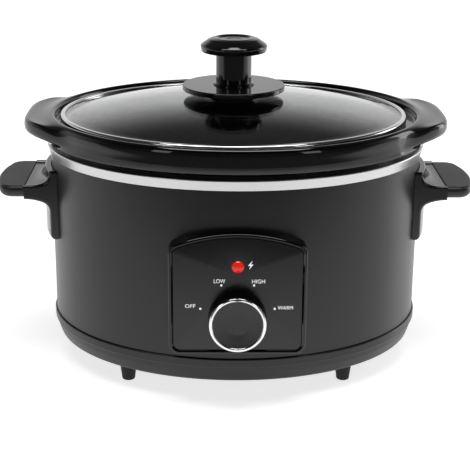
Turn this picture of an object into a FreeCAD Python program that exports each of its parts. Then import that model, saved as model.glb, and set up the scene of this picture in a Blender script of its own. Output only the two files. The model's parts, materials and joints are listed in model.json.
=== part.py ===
"""Oval slow cooker: a heated base unit, a lift-out stoneware crock, a lift-off glass lid and a rotary dial.

Lengths are in millimetres, +Z is up and -Y is the front. The origin is the centre of the footprint on the
surface that the feet stand on. Every piece is modelled about the vertical axis of the oval body, and its
Placement then moves it back by Dims.oval_centre_y, because the dial stands out at the front.
"""
import FreeCAD, Part
import Sketcher
import math
import os

Vector = FreeCAD.Vector
doc = FreeCAD.newDocument("slow_cooker")
dims = doc.addObject("Spreadsheet::Sheet", "Dims")

DRIVING_DIMENSIONS = {
    "body_half_length": 141.0,
    "body_half_depth": 118.0,
    "oval_centre_y": 7.1,
    "sheet_gauge": 1.0,
    "moulding_wall": 2.4,
    "tray_bottom_z": 13.5,
    "base_ring_z": 26.0,
    "shell_bottom_z": 32.5,
    "shell_top_z": 157.0,
    "band_top_z": 165.3,
    "band_flare": 2.4,
    "liner_floor_z": 48.0,
    "liner_inset_top": 10.0,
    "liner_inset_bottom": 22.0,
    "heater_bottom_z": 58.0,
    "heater_top_z": 84.0,
    "wrap_bottom_z": 92.0,
    "wrap_top_z": 144.0,
    "rim_half_length": 143.0,
    "rim_half_depth": 124.5,
    "rim_top_z": 187.0,
    "skirt_bottom_z": 169.5,
    "ear_reach": 158.5,
    "ear_depth_scale": 88.0,
    "ear_top_z": 186.0,
    "ear_bottom_z": 174.0,
    "crock_floor_z": 49.3,
    "crock_wall": 7.0,
    "ledge_z": 180.0,
    "lid_shift_x": -1.9,
    "lid_half_length": 131.3,
    "lid_half_depth": 109.8,
    "lid_edge_z": 185.0,
    "glass_apex_z": 199.2,
    "glass_gauge": 4.0,
    "disc_radius": 38.8,
    "disc_bottom_z": 202.8,
    "disc_top_z": 206.6,
    "stem_radius": 13.4,
    "cap_radius": 25.2,
    "cap_bottom_z": 231.6,
    "cap_rim_z": 236.6,
    "knob_top_z": 242.2,
    "handle_half_depth": 38.0,
    "plate_proud": 5.5,
    "plate_bottom_z": 94.5,
    "plate_top_z": 148.0,
    "arm_bottom_z": 126.3,
    "arm_top_z": 136.8,
    "grip_inner_x": 158.5,
    "handle_reach": 182.0,
    "panel_half_width": 48.2,
    "panel_bottom_z": 39.4,
    "panel_top_z": 128.6,
    "panel_arch_radius": 126.0,
    "panel_front_y": 125.6,
    "panel_frame": 3.2,
    "panel_corner": 8.0,
    "face_y": 124.4,
    "dial_z": 66.3,
    "dial_radius": 20.6,
    "dial_height": 13.6,
    "shaft_radius": 3.0,
    "shaft_clearance": 0.05,
    "lens_radius": 4.4,
    "lens_z": 104.6,
    "foot_spacing_x": 80.0,
    "foot_spacing_y": 80.0,
    "foot_radius": 6.4,
    "gland_z": 43.0,
    "cord_bore_radius": 3.7,
    "lead_radius": 1.3,
}
for row, (alias, value) in enumerate(DRIVING_DIMENSIONS.items(), start=1):
    dims.set(f"A{row}", alias)
    dims.set(f"B{row}", str(value))
    dims.setAlias(f"B{row}", alias)
doc.recompute()

NODES = {}


def size(alias):
    """The sheet's value for an alias."""
    return float(dims.get(alias))


def bind(thing, **expressions):
    """Bind properties to sheet expressions; a double underscore in a name stands for a dot."""
    for name, expression in expressions.items():
        thing.setExpression(name.replace("__", "."), str(expression))
    return thing


def node(thing, label):
    """Name a finished sub-part and move it from the oval's axis to the footprint's frame."""
    own_y = [expression for path, expression in thing.ExpressionEngine if path.endswith("Placement.Base.y")]
    thing.Label = label
    thing.setExpression("Placement.Base.y", " + ".join(["Dims.oval_centre_y"] + [f"({y})" for y in own_y]))
    NODES[label] = thing
    return thing


# ---- Shapes shared by several sub-parts ----

HANDLE_SCREW_HEIGHTS = ("Dims.plate_bottom_z + 10", "Dims.plate_top_z - 10")

OVALS = {
    "body": ("Dims.body_half_length", "Dims.body_half_depth"),
    "rim": ("Dims.rim_half_length", "Dims.rim_half_depth"),
    "lid": ("Dims.lid_half_length", "Dims.lid_half_depth"),
}


def oval_stack(stations, family="body", centre_x="0"):
    """A solid through level ovals, each given as (height, how far it stands outside its family's oval)."""
    half_length, half_depth = OVALS[family]
    rings = []
    for height, growth in stations:
        ring = doc.addObject("Part::Ellipse", "oval")
        bind(ring, MajorRadius=f"{half_length} + {growth}", MinorRadius=f"{half_depth} + {growth}")
        bind(ring, Placement__Base__z=height, Placement__Base__x=centre_x)
        rings.append(ring)
    solid = doc.addObject("Part::Loft", "oval_stack")
    solid.Sections = rings
    solid.Solid = True
    solid.Ruled = True
    return solid


def block(low, high):
    """A box between two corners, whose coordinates are expressions."""
    solid = doc.addObject("Part::Box", "block")
    for side, axis, start, end in zip(("Length", "Width", "Height"), "xyz", low, high):
        solid.setExpression(side, f"({end}) - ({start})")
        solid.setExpression(f"Placement.Base.{axis}", str(start))
    return solid


TURNS = {
    "+Z": FreeCAD.Rotation(),
    "-Y": FreeCAD.Rotation(Vector(1, 0, 0), 90),
    "+Y": FreeCAD.Rotation(Vector(1, 0, 0), -90),
    "+X": FreeCAD.Rotation(Vector(0, 1, 0), 90),
    "-X": FreeCAD.Rotation(Vector(0, 1, 0), -90),
}


def rod(radius, length, start, direction="+Z"):
    """A cylinder that runs from a start point along a direction."""
    solid = doc.addObject("Part::Cylinder", "rod")
    solid.Placement = FreeCAD.Placement(Vector(), TURNS[direction])
    bind(solid, Radius=radius, Height=length)
    for axis, value in zip("xyz", start):
        solid.setExpression(f"Placement.Base.{axis}", str(value))
    return solid


def cut(base, *tools):
    """The base without its tools."""
    result = base
    for tool in tools:
        step = doc.addObject("Part::Cut", "cut")
        step.Base = result
        step.Tool = tool
        result = step
    return result


def fuse(*shapes):
    """Several overlapping shapes as one solid."""
    result = doc.addObject("Part::MultiFuse", "fuse")
    result.Shapes = list(shapes)
    return result


def common(base, tool):
    """The space that two shapes share."""
    result = doc.addObject("Part::Common", "common")
    result.Base = base
    result.Tool = tool
    return result


def group(*shapes):
    """Identical loose fasteners kept together as separate solids."""
    result = doc.addObject("Part::Compound", "group")
    result.Links = list(shapes)
    return result


def rounded(base, radius, chosen):
    """The base with the edges that a test picks rounded over."""
    doc.recompute()
    result = doc.addObject("Part::Fillet", "rounded")
    result.Base = base
    result.Edges = [(i, radius, radius) for i, edge in enumerate(base.Shape.Edges, start=1) if chosen(edge)]
    return result


def runs_along(edge, axis):
    """True for a straight edge parallel to an axis, where 0, 1 and 2 are X, Y and Z."""
    if edge.Curve.TypeId != "Part::GeomLine":
        return False
    return abs(abs(edge.Curve.Direction[axis]) - 1.0) < 1e-6


def profile_sketch(body, plane, corners):
    """A closed polygon on one of the body's origin planes, with every corner bound to the sheet."""
    sketch = body.newObject("Sketcher::SketchObject", f"{body.Name}_profile")
    support = [feature for feature in body.Origin.OriginFeatures if feature.Role == plane][0]
    sketch.AttachmentSupport = (support, [""])
    sketch.MapMode = "FlatFace"
    count = len(corners)
    turn = 2.0 * math.pi / count
    start = [Vector(math.cos(turn * i), math.sin(turn * i), 0) for i in range(count)]
    for i in range(count):
        sketch.addGeometry(Part.LineSegment(start[i], start[(i + 1) % count]), False)
    for i in range(count):
        sketch.addConstraint(Sketcher.Constraint("Coincident", i, 2, (i + 1) % count, 1))
    for i, corner in enumerate(corners):
        for kind, expression in zip(("DistanceX", "DistanceY"), corner):
            index = sketch.addConstraint(Sketcher.Constraint(kind, -1, 1, i, 1, 1.0))
            sketch.setExpression(f"Constraints[{index}]", f"({expression}) * 1 mm")
    return sketch


def turned(name, corners, start=("0", "0", "0"), direction="+Z"):
    """A body turned about its own axis from (radius, height) corners, then stood at a start point."""
    body = doc.addObject("PartDesign::Body", name)
    sketch = profile_sketch(body, "XZ_Plane", corners)
    revolution = body.newObject("PartDesign::Revolution", f"{name}_turn")
    revolution.Profile = sketch
    revolution.ReferenceAxis = (sketch, ["V_Axis"])
    revolution.Angle = 360
    body.Placement = FreeCAD.Placement(Vector(), TURNS[direction])
    for axis, value in zip("xyz", start):
        body.setExpression(f"Placement.Base.{axis}", str(value))
    return body


def turned_node(label, corners, x="0", y="0", z="0", direction="+Z"):
    """A turned body that is a sub-part by itself."""
    node(turned(label, corners, (x, y, z), direction), label)


def screw(start, direction, head="2.9", shank="1.7", length="9"):
    """A pan-head screw: its head stands behind the start point and its shank runs along the direction."""
    axis = TURNS[direction].multVec(Vector(0, 0, 1))
    head_start = [f"({value}) - ({1.8 * part})" for value, part in zip(start, axis)]
    return fuse(rod(head, "1.8", head_start, direction), rod(shank, length, start, direction))


# ---- Base unit: shell, band, liner and base mouldings ----

def outer_shell():
    """Painted steel wrap, with a window behind the panel and holes for the handles and the cord gland."""
    wrap = oval_stack([("Dims.shell_bottom_z", "0"), ("Dims.shell_top_z", "0")])
    hollow = oval_stack([("Dims.shell_bottom_z - 1", "-Dims.sheet_gauge"),
                         ("Dims.shell_top_z + 1", "-Dims.sheet_gauge")])
    window = block(("-36", "-130", "50"), ("36", "-60", "118"))
    gland_hole = rod("7", "30", ("0", "100", "Dims.gland_z"), "+Y")
    holes = [rod("2.1", "320", ("-160", "0", height), "+X") for height in HANDLE_SCREW_HEIGHTS]
    node(cut(wrap, hollow, window, gland_hole, *holes), "outer_shell")


def trim_band():
    """Brushed band that caps the shell: a slightly flared wall with its top turned inwards."""
    band = oval_stack([("Dims.shell_top_z", "0.5"), ("Dims.band_top_z - 0.8", "Dims.band_flare"),
                       ("Dims.band_top_z", "Dims.band_flare - 0.6")])
    under = oval_stack([("Dims.shell_top_z - 1", "-1.0"), ("Dims.band_top_z - 1.2", "Dims.band_flare - 1.2")])
    mouth = oval_stack([("Dims.band_top_z - 3", "-7.5"), ("Dims.band_top_z + 1", "-7.5")])
    node(cut(band, under, mouth), "trim_band")


def heating_liner():
    """Pressed metal pot that the crock drops into, hung from its flange under the band."""
    top = "Dims.band_top_z - 1.3"
    pot = oval_stack([("Dims.liner_floor_z", "-Dims.liner_inset_bottom"), (top, "-Dims.liner_inset_top")])
    flange = oval_stack([(f"{top} - 1", "0.2"), (top, "0.2")])
    hollow = oval_stack([("Dims.liner_floor_z + 1", "-Dims.liner_inset_bottom - 0.9"),
                         (f"{top} + 0.01", "-Dims.liner_inset_top - 0.9")])
    node(cut(fuse(pot, flange), hollow), "heating_liner")


def base_ring():
    """Moulded ring that the shell stands on, a little proud of it."""
    ring = oval_stack([("Dims.base_ring_z", "0.9"), ("Dims.base_ring_z + 0.6", "1.3"),
                       ("Dims.shell_bottom_z - 0.8", "1.3"), ("Dims.shell_bottom_z", "0.6")])
    hollow = oval_stack([("Dims.base_ring_z - 1", "-4"), ("Dims.shell_bottom_z + 1", "-4")])
    node(cut(ring, hollow), "base_ring")


def base_tray():
    """Moulded tray that closes the bottom, with vent slots and holes for the feet and the tie bolt."""
    floor = "Dims.tray_bottom_z"
    tray = oval_stack([(floor, "-6"), (f"{floor} + 1.2", "-3.2"), (f"{floor} + 4", "-1.2"),
                       ("Dims.base_ring_z", "0.2")])
    hollow = oval_stack([(f"{floor} + Dims.moulding_wall", "-7"), ("Dims.base_ring_z + 1", "-3")])
    pitch, row_y, half_width, half_length = 9, 42, 1.5, 16
    slots = []
    for column in range(-3, 4):
        for side in (-1, 1):
            x, y = column * pitch, side * row_y
            slots.append(block((x - half_width, y - half_length, f"{floor} - 1"),
                               (x + half_width, y + half_length, f"{floor} + 5")))
    plugs = [rod("3", "6", (f"{x} * Dims.foot_spacing_x", f"{y} * Dims.foot_spacing_y", f"{floor} - 1"))
             for x in (-1, 1) for y in (-1, 1)]
    bolt_hole = rod("3.2", "6", ("0", "0", f"{floor} - 1"))
    node(cut(tray, hollow, fuse(*slots, *plugs, bolt_hole)), "base_tray")


def feet():
    """Four rubber feet, each pushed through the tray floor on a waisted neck."""
    floor = "Dims.tray_bottom_z"
    inside = f"{floor} + Dims.moulding_wall"
    corners = [("0", "0"), ("4.2", "0"), ("4.9", "0.7"), ("Dims.foot_radius", f"{floor}"), ("3", f"{floor}"),
               ("3", inside), ("4", inside), ("3", f"{inside} + 3.5"), ("0", f"{inside} + 3.5")]
    for end, y in (("front", -1), ("rear", 1)):
        for side, x in (("left", -1), ("right", 1)):
            turned_node(f"foot_{end}_{side}", corners,
                        f"{x} * Dims.foot_spacing_x", f"{y} * Dims.foot_spacing_y")


def tie_hardware():
    """Strap under the liner, with the bolt, washer and nut that pull the whole base together."""
    strap_top = "Dims.liner_floor_z"
    floor = "Dims.tray_bottom_z"
    strap = block(("-45", "-9", f"{strap_top} - 1.5"), ("45", "9", strap_top))
    node(cut(strap, rod("2.6", "4", ("0", "0", f"{strap_top} - 3"))), "tie_strap")
    node(rod("2.5", f"{strap_top} - {floor} + 6.5", ("0", "0", f"{floor} - 6.5")), "tie_bolt")
    washer = cut(rod("8", "1", ("0", "0", f"{floor} - 1")), rod("2.5", "3", ("0", "0", f"{floor} - 2")))
    node(washer, "tie_washer")
    hexagon = doc.addObject("Part::Prism", "hexagon")
    hexagon.Polygon = 6
    bind(hexagon, Circumradius="5", Height="4", Placement__Base__z=f"{floor} - 5")
    node(cut(hexagon, rod("2.5", "6", ("0", "0", f"{floor} - 6"))), "tie_nut")


# ---- Handles ----

def mirrored_node(label, source):
    """A sub-part that is another one's mirror image across the left-right middle plane."""
    mirror = doc.addObject("Part::Mirroring", label)
    mirror.Source = NODES[source]
    mirror.Normal = Vector(1, 0, 0)
    mirror.Label = label
    NODES[label] = mirror


def handle_left():
    """Handle moulding: a plate that follows the shell, an arm with a dished top and a curved underside."""
    plate_face = "-(Dims.body_half_length + Dims.plate_proud)"
    inside = "-(Dims.body_half_length - 16)"
    arm_bottom, arm_top = "Dims.arm_bottom_z", "Dims.arm_top_z"
    joint = "-Dims.grip_inner_x"
    drop, reach = 14, 11.5
    corners = [
        (inside, f"{arm_bottom} - {drop}"),
        (plate_face, f"{arm_bottom} - {drop}"),
        (f"{plate_face} - 0.16 * {reach}", f"{arm_bottom} - 0.55 * {drop}"),
        (f"{plate_face} - 0.45 * {reach}", f"{arm_bottom} - 0.2 * {drop}"),
        (f"{plate_face} - {reach}", arm_bottom),
        (joint, arm_bottom),
        (joint, arm_top),
        (inside, arm_top),
    ]
    body = doc.addObject("PartDesign::Body", "handle_arm")
    pad = body.newObject("PartDesign::Pad", "handle_arm_pad")
    pad.Profile = profile_sketch(body, "XZ_Plane", corners)
    pad.SideType = "Symmetric"
    bind(pad, Length="2 * Dims.handle_half_depth")
    bevel = 3.0
    plate_bottom, plate_top, proud = "Dims.plate_bottom_z", "Dims.plate_top_z", "Dims.plate_proud"
    follower = oval_stack([(plate_bottom, f"{proud} - 2"), (f"{plate_bottom} + {bevel}", proud),
                           (f"{plate_top} - {bevel}", proud), (plate_top, f"{proud} - {bevel}")])
    half_depth = "Dims.handle_half_depth"
    slab = block(("-150", f"-{half_depth}", plate_bottom), ("-100", half_depth, plate_top))
    tongue = block(("-(Dims.handle_reach - 6)", f"-{half_depth} + 2.4", f"{arm_bottom} + 3.2"),
                   ("-(Dims.grip_inner_x - 4)", f"{half_depth} - 2.4", f"{arm_top} - 2.6"))
    tongue = rounded(tongue, 9.0, upright_outer_edge)
    shell = oval_stack([("40", "0.05"), ("200", "0.05")])
    dish = block(("-(Dims.grip_inner_x - 0.8)", f"-{half_depth} + 3.5", f"{arm_top} - 4"),
                 ("-149", f"{half_depth} - 3.5", f"{arm_top} + 2"))
    screw_holes = [rod("1.5", "12", ("-133", "0", height), "-X") for height in HANDLE_SCREW_HEIGHTS]
    node(cut(fuse(common(follower, slab), body, tongue), shell, dish, *screw_holes), "handle_left")


def upright_outer_edge(edge):
    """True for a vertical edge near the outer end of the left handle."""
    return runs_along(edge, 2) and edge.CenterOfMass.x < -170


def soft_outer_edge(edge):
    """True for a level edge that goes round the outer end of the left handle."""
    return edge.BoundBox.ZLength < 0.01 and edge.BoundBox.XMin < -165 and not runs_along(edge, 1)


def grip_left():
    """Hollow cap that slides over the end of the arm; its outer side is gently bowed."""
    half_depth = "Dims.handle_half_depth"
    slab = block(("-Dims.handle_reach", f"-{half_depth}", "Dims.arm_bottom_z + 1"),
                 ("-Dims.grip_inner_x", half_depth, "Dims.arm_top_z - 0.4"))
    ends = rounded(slab, 11.0, upright_outer_edge)
    bow_radius = 112
    bow = rod(bow_radius, "60", (f"-(Dims.handle_reach - {bow_radius})", "0", "100"))
    soft = rounded(common(ends, bow), 3.0, soft_outer_edge)
    pocket = block(("-(Dims.handle_reach - 5.8)", f"-{half_depth} + 2.2", "Dims.arm_bottom_z + 3.1"),
                   ("-150", f"{half_depth} - 2.2", "Dims.arm_top_z - 2.5"))
    node(cut(soft, rounded(pocket, 9.0, upright_outer_edge)), "grip_left")


def handle_screws():
    """Two screws a side, driven outwards from inside the shell."""
    screws = []
    for side, direction in ((-1, "-X"), (1, "+X")):
        x = f"{side} * (Dims.body_half_length - Dims.sheet_gauge - 0.1)"
        for height in HANDLE_SCREW_HEIGHTS:
            screws.append(screw((x, "0", height), direction, shank="1.5", length="5"))
    node(group(*screws), "handle_screws")


# ---- Control panel ----

def panel_outline(inset, corner, front, back):
    """Panel block with an arched top and round corners, inset on every side, between two depths."""
    side = f"Dims.panel_half_width - {inset}"
    slab = block((f"-({side})", f"-({front})", f"Dims.panel_bottom_z + {inset}"),
                 (side, f"-({back})", f"Dims.panel_top_z - {inset}"))
    centre = ("0", "-60", "Dims.panel_top_z - Dims.panel_arch_radius")
    arch = rod(f"Dims.panel_arch_radius - {inset}", "100", centre, "-Y")
    return rounded(common(slab, arch), corner, lambda edge: runs_along(edge, 1))


def panel_parts():
    """Deep frame that stands off the curved shell, and the flat plate set inside it."""
    corner = size("panel_corner")
    inner_corner = corner - size("panel_frame") / 2
    frame = panel_outline("0", corner, "Dims.panel_front_y", "95")
    opening = panel_outline("Dims.panel_frame", inner_corner, "Dims.panel_front_y + 5", "80")
    shell = oval_stack([("20", "0.05"), ("150", "0.05")])
    node(cut(frame, opening, shell), "panel_bezel")
    plate = panel_outline("(Dims.panel_frame + 0.05)", inner_corner, "Dims.face_y", "Dims.face_y - 2")
    bush_hole = rod("4.6", "8", ("0", "-Dims.face_y + 5", "Dims.dial_z"), "-Y")
    lens_hole = rod("Dims.lens_radius - 0.8", "8", ("0", "-Dims.face_y + 5", "Dims.lens_z"), "-Y")
    node(cut(plate, bush_hole, lens_hole), "panel_face")


def indicator():
    """Red lens with a stepped back, and the small neon lamp behind it."""
    neck = "Dims.lens_radius - 0.9"
    place = {"y": "-Dims.face_y", "z": "Dims.lens_z", "direction": "-Y"}
    turned_node("indicator_lens", [
        ("0", "-5"), (neck, "-5"), (neck, "0"), ("Dims.lens_radius", "0"), ("Dims.lens_radius", "0.6"),
        ("3.4", "1.7"), ("1.8", "2.3"), ("0", "2.5")], **place)
    turned_node("indicator_lamp", [
        ("0", "-16"), ("2.2", "-16"), ("2.4", "-6.6"), ("1.2", "-5.3"), ("0", "-5.1")], **place)


def rotary_switch():
    """Four-position heat selector: a square body with a bush for the shaft, and its fixing nut."""
    body = block(("-15", "-Dims.face_y + 2", "Dims.dial_z - 15"),
                 ("15", "-Dims.face_y + 17.5", "Dims.dial_z + 15"))
    bush = rod("4.5", "5", ("0", "-Dims.face_y + 3", "Dims.dial_z"), "-Y")
    bore_start = ("0", "-Dims.face_y + 16", "Dims.dial_z")
    bore = rod("Dims.shaft_radius + Dims.shaft_clearance", "30", bore_start, "-Y")
    node(cut(fuse(body, bush), bore), "rotary_switch")
    nut = doc.addObject("Part::Prism", "nut")
    nut.Polygon = 6
    nut.Placement = FreeCAD.Placement(Vector(), TURNS["-Y"])
    bind(nut, Circumradius="7", Height="2")
    bind(nut, Placement__Base__y="-Dims.face_y", Placement__Base__z="Dims.dial_z")
    node(cut(nut, rod("4.5", "6", ("0", "-Dims.face_y + 2", "Dims.dial_z"), "-Y")), "switch_nut")


# ---- Electrical parts inside the base ----

def liner_layer(bottom, top, inner, outer):
    """A layer wrapped round the tapered liner between two heights and two distances from its wall."""
    rise = "(Dims.band_top_z - 1.3 - Dims.liner_floor_z)"
    slope = f"((Dims.liner_inset_bottom - Dims.liner_inset_top) / {rise})"

    def growth(height, gap):
        return f"{gap} - Dims.liner_inset_bottom + ({height} - Dims.liner_floor_z) * {slope}"

    solid = oval_stack([(bottom, growth(bottom, outer)), (top, growth(top, outer))])
    low, high = f"{bottom} - 1", f"{top} + 1"
    hollow = oval_stack([(low, growth(low, inner)), (high, growth(high, inner))])
    return cut(solid, hollow)


def heating_parts():
    """Band heater clamped round the liner by two straps, and the glass-fibre wrap above it."""
    node(liner_layer("Dims.heater_bottom_z", "Dims.heater_top_z", "0.1", "1.6"), "band_heater")
    straps = []
    for rise in (3, 18):
        strap_bottom = f"Dims.heater_bottom_z + {rise}"
        straps.append(liner_layer(strap_bottom, f"{strap_bottom} + 5", "1.7", "2.2"))
    node(group(*straps), "heater_straps")
    node(liner_layer("Dims.wrap_bottom_z", "Dims.wrap_top_z", "0.2", "4.2"), "insulation_wrap")


def electrical_parts():
    """Thermal fuse and its clip, terminal block, earth screw and the gland that the mains cord enters by."""
    fuse_height = "Dims.liner_floor_z - 4.5"
    node(rod("2", "16", ("-70", "25", fuse_height), "+X"), "thermal_fuse")
    clip = cut(block(("-66", "20", "Dims.liner_floor_z - 7.5"), ("-58", "30", "Dims.liner_floor_z")),
               rod("2.02", "20", ("-72", "25", fuse_height), "+X"))
    node(clip, "fuse_clip")
    floor = "Dims.tray_bottom_z + Dims.moulding_wall"
    body = block(("20", "60", floor), ("56", "76", f"{floor} + 13"))
    wells = fuse(*[rod("2.6", "6", (str(x), "68", f"{floor} + 9")) for x in (26, 38, 50)])
    node(cut(body, wells), "terminal_block")
    node(screw(("30", "0", "Dims.liner_floor_z - 4"), "+Z", length="2.5"), "earth_screw")
    flange, groove = "8.6", "6.9"
    turned_node("cord_gland", [
        ("Dims.cord_bore_radius", "-6"), (flange, "-6"), (flange, "-1.2"), (groove, "-1.2"), (groove, "0.2"),
        (flange, "0.2"), ("7.4", "3.6"), ("Dims.cord_bore_radius", "3.6")],
        "0", "Dims.body_half_depth", "Dims.gland_z", "+Y")


def lead(label, corners):
    """An insulated lead: straight runs joined by arcs tangent to both, swept with a round section."""
    radius = size("lead_radius")
    points = [Vector(*corner) for corner in corners]
    edges = []
    here = points[0]
    for before, corner, after in zip(points, points[1:], points[2:]):
        run_in = before - corner
        run_out = after - corner
        turn = math.pi - run_in.getAngle(run_out)
        reach = 0.45 * min(run_in.Length, run_out.Length)
        run_in.normalize()
        run_out.normalize()
        first = corner + run_in * reach
        last = corner + run_out * reach
        bend = reach / math.tan(turn / 2)
        middle = (run_in + run_out).normalize()
        centre = corner + middle * math.hypot(reach, bend)
        edges.append(Part.LineSegment(here, first).toShape())
        edges.append(Part.Arc(first, centre - middle * bend, last).toShape())
        here = last
    edges.append(Part.LineSegment(here, points[-1]).toShape())
    path = Part.Wire(edges)
    start_direction = (points[1] - points[0]).normalize()
    section = Part.Wire([Part.Circle(points[0], start_direction, radius).toShape()])
    feature = doc.addObject("Part::Feature", label)
    feature.Shape = path.makePipeShell([section], True, False)
    node(feature, label)


def leads():
    """Internal leads from the terminal block to the switch, the fuse and the heater's two tails."""
    block_top = size("tray_bottom_z") + size("moulding_wall") + 13
    switch_bottom = size("dial_z") - 15
    switch_y = -size("face_y") + 14
    heater_z = size("heater_bottom_z")
    fuse_z = size("liner_floor_z") - 4.5
    lead("lead_supply", [(26, 68, block_top), (26, 68, 37), (26, -60, 37), (8, switch_y, 37),
                         (8, switch_y, switch_bottom)])
    lead("lead_high", [(-2, switch_y, switch_bottom), (-2, switch_y, 41), (-40, -96, 41),
                       (-50, -93, 46), (-50, -93, heater_z)])
    lead("lead_low", [(-10, switch_y, switch_bottom), (-10, switch_y, 34), (-74, -86, 34),
                      (-84, -72, 42), (-84, -72, heater_z)])
    lead("lead_return", [(38, 68, block_top), (38, 68, fuse_z), (38, 25, fuse_z), (-54, 25, fuse_z)])


# ---- Crock ----

def crock_outline(growth, steps=36):
    """Plan outline of the rim: an oval that runs out smoothly into an ear at each end."""
    half_length = size("rim_half_length") + growth
    half_depth = size("rim_half_depth") + growth
    blend = 5.0
    points = []
    for i in range(4 * steps):
        angle = 2.0 * math.pi * i / (4 * steps)
        y = half_depth * math.sin(angle)
        oval_x = half_length * abs(math.cos(angle))
        ear_x = size("ear_reach") * (1.0 - (abs(y) / size("ear_depth_scale")) ** 4)
        x = oval_x + blend * math.log(1.0 + math.exp((ear_x - oval_x) / blend))
        points.append(Vector(math.copysign(x, math.cos(angle)), y, 0))
    curve = Part.BSplineCurve()
    curve.interpolate(points, PeriodicFlag=True)
    return curve


def oval_wire(half_length, half_depth, height):
    """A level oval edge as a wire."""
    ellipse = Part.Ellipse(Vector(0, 0, height), half_length, half_depth)
    return Part.Wire([ellipse.toShape()])


def oval_loft(stations):
    """A smooth solid through level ovals, each given as (half length, half depth, height)."""
    return Part.makeLoft([oval_wire(*station) for station in stations], True, True)


def crock_rim():
    """The skirted rim, hollow underneath, and the flat plate whose ends are the two ears."""
    length, depth = size("rim_half_length"), size("rim_half_depth")
    bottom, top = size("skirt_bottom_z"), size("rim_top_z")
    skirt = oval_loft([(length + 2.5, depth - 1.0, bottom), (length + 1.5, depth, bottom + 5),
                       (length, depth, top - 5), (length - 2.5, depth - 2.0, top - 1.2),
                       (length - 5.0, depth - 4.5, top)])
    under = oval_loft([(length - 4, depth - 7.0, bottom - 1), (length - 5, depth - 8.0, bottom + 6)])
    plate = Part.Face(Part.Wire([crock_outline(-4.2).toShape()]))
    plate.translate(Vector(0, 0, size("ear_bottom_z")))
    ears = plate.extrude(Vector(0, 0, size("ear_top_z") - size("ear_bottom_z")))
    return skirt.cut(under).fuse(ears)


def crock_bowl():
    """The tapered bowl that hangs inside the liner, and the cavity for the food."""
    length, depth = size("body_half_length"), size("body_half_depth")
    floor, wall = size("crock_floor_z"), size("crock_wall")
    top = size("skirt_bottom_z") + 8
    clearance = 0.9 + 1.2
    inset_top, inset_bottom = size("liner_inset_top") + clearance, size("liner_inset_bottom") + clearance
    slope = (inset_bottom - inset_top) / (size("band_top_z") - size("liner_floor_z"))
    inset_at_top = inset_bottom - slope * (top - floor)

    def station(inset, height):
        return length - inset, depth - inset, height

    bowl = oval_loft([station(inset_bottom + 5, floor), station(inset_bottom + 1, floor + 3),
                      station(inset_bottom - slope * 8, floor + 8), station(inset_at_top, top)])
    inside = floor + wall + 1.5
    cavity = oval_loft([station(inset_bottom + wall + 9, inside),
                        station(inset_bottom + wall + 2.5, inside + 3.5),
                        station(inset_bottom + wall, inside + 11),
                        station(inset_at_top + wall - 2, top + 12)])
    return bowl, cavity


def crock():
    """Glazed stoneware pot: a tapered bowl, a skirted rim with two ears and a ledge for the lid."""
    length, depth = size("lid_half_length"), size("lid_half_depth")
    ledge = oval_loft([(length + 4.0, depth + 3.0, size("ledge_z")),
                       (length + 6.5, depth + 4.5, size("rim_top_z") + 1)])
    bowl, cavity = crock_bowl()
    feature = doc.addObject("Part::Feature", "crock_shape")
    feature.Shape = crock_rim().fuse(bowl).cut([cavity, ledge]).removeSplitter()
    node(feature, "crock")


# ---- Lid ----

def lid_glass():
    """Domed glass with a flat margin: a section turned about the lid's axis, then narrowed in Y."""
    radius = size("lid_half_length") - 1.6
    dome_radius = radius - 5.5
    edge, apex, gauge = size("lid_edge_z"), size("glass_apex_z"), size("glass_gauge")
    crown = apex - edge
    sphere_radius = (dome_radius ** 2 + crown ** 2) / (2 * crown)
    middle = dome_radius / 2
    middle_z = apex - sphere_radius + math.sqrt(sphere_radius ** 2 - middle ** 2)
    corners = [Vector(0, 0, apex), Vector(dome_radius, 0, edge), Vector(radius, 0, edge)]
    drop = Vector(0, 0, -gauge)
    lower = [corner + drop for corner in corners]
    outline = [
        Part.Arc(corners[0], Vector(middle, 0, middle_z), corners[1]).toShape(),
        Part.makeLine(corners[1], corners[2]),
        Part.makeLine(corners[2], lower[2]),
        Part.makeLine(lower[2], lower[1]),
        Part.Arc(lower[1], Vector(middle, 0, middle_z) + drop, lower[0]).toShape(),
        Part.makeLine(lower[0], corners[0]),
    ]
    dome = Part.Face(Part.Wire(outline)).revolve(Vector(), Vector(0, 0, 1), 360)
    squeeze = FreeCAD.Matrix()
    squeeze.scale(Vector(1.0, (size("lid_half_depth") - 1.6) / radius, 1.0))
    dome = dome.transformGeometry(squeeze).cut(Part.makeCylinder(4.0, 60.0, Vector(0, 0, edge - 20)))
    dome.translate(Vector(size("lid_shift_x"), 0, 0))
    feature = doc.addObject("Part::Feature", "glass_shape")
    feature.Shape = dome
    node(feature, "lid_glass")


def lid_rim():
    """Narrow steel channel rolled round the edge of the glass."""
    bottom, top = "Dims.ledge_z + 0.3", "Dims.lid_edge_z + 1.2"
    groove_bottom, groove_top = "Dims.lid_edge_z - Dims.glass_gauge - 0.1", "Dims.lid_edge_z + 0.1"
    shift = "Dims.lid_shift_x"
    hoop = oval_stack([(bottom, "-1.6"), (f"{bottom} + 1.3", "0"), (f"{top} - 1.5", "0"), (top, "-1.6")],
                      "lid", shift)
    hollow = oval_stack([(f"{bottom} - 1", "-3.8"), (f"{top} + 1", "-3.8")], "lid", shift)
    groove = oval_stack([(groove_bottom, "-1.4"), (groove_top, "-1.4")], "lid", shift)
    node(cut(hoop, hollow, groove), "lid_rim")


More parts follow.
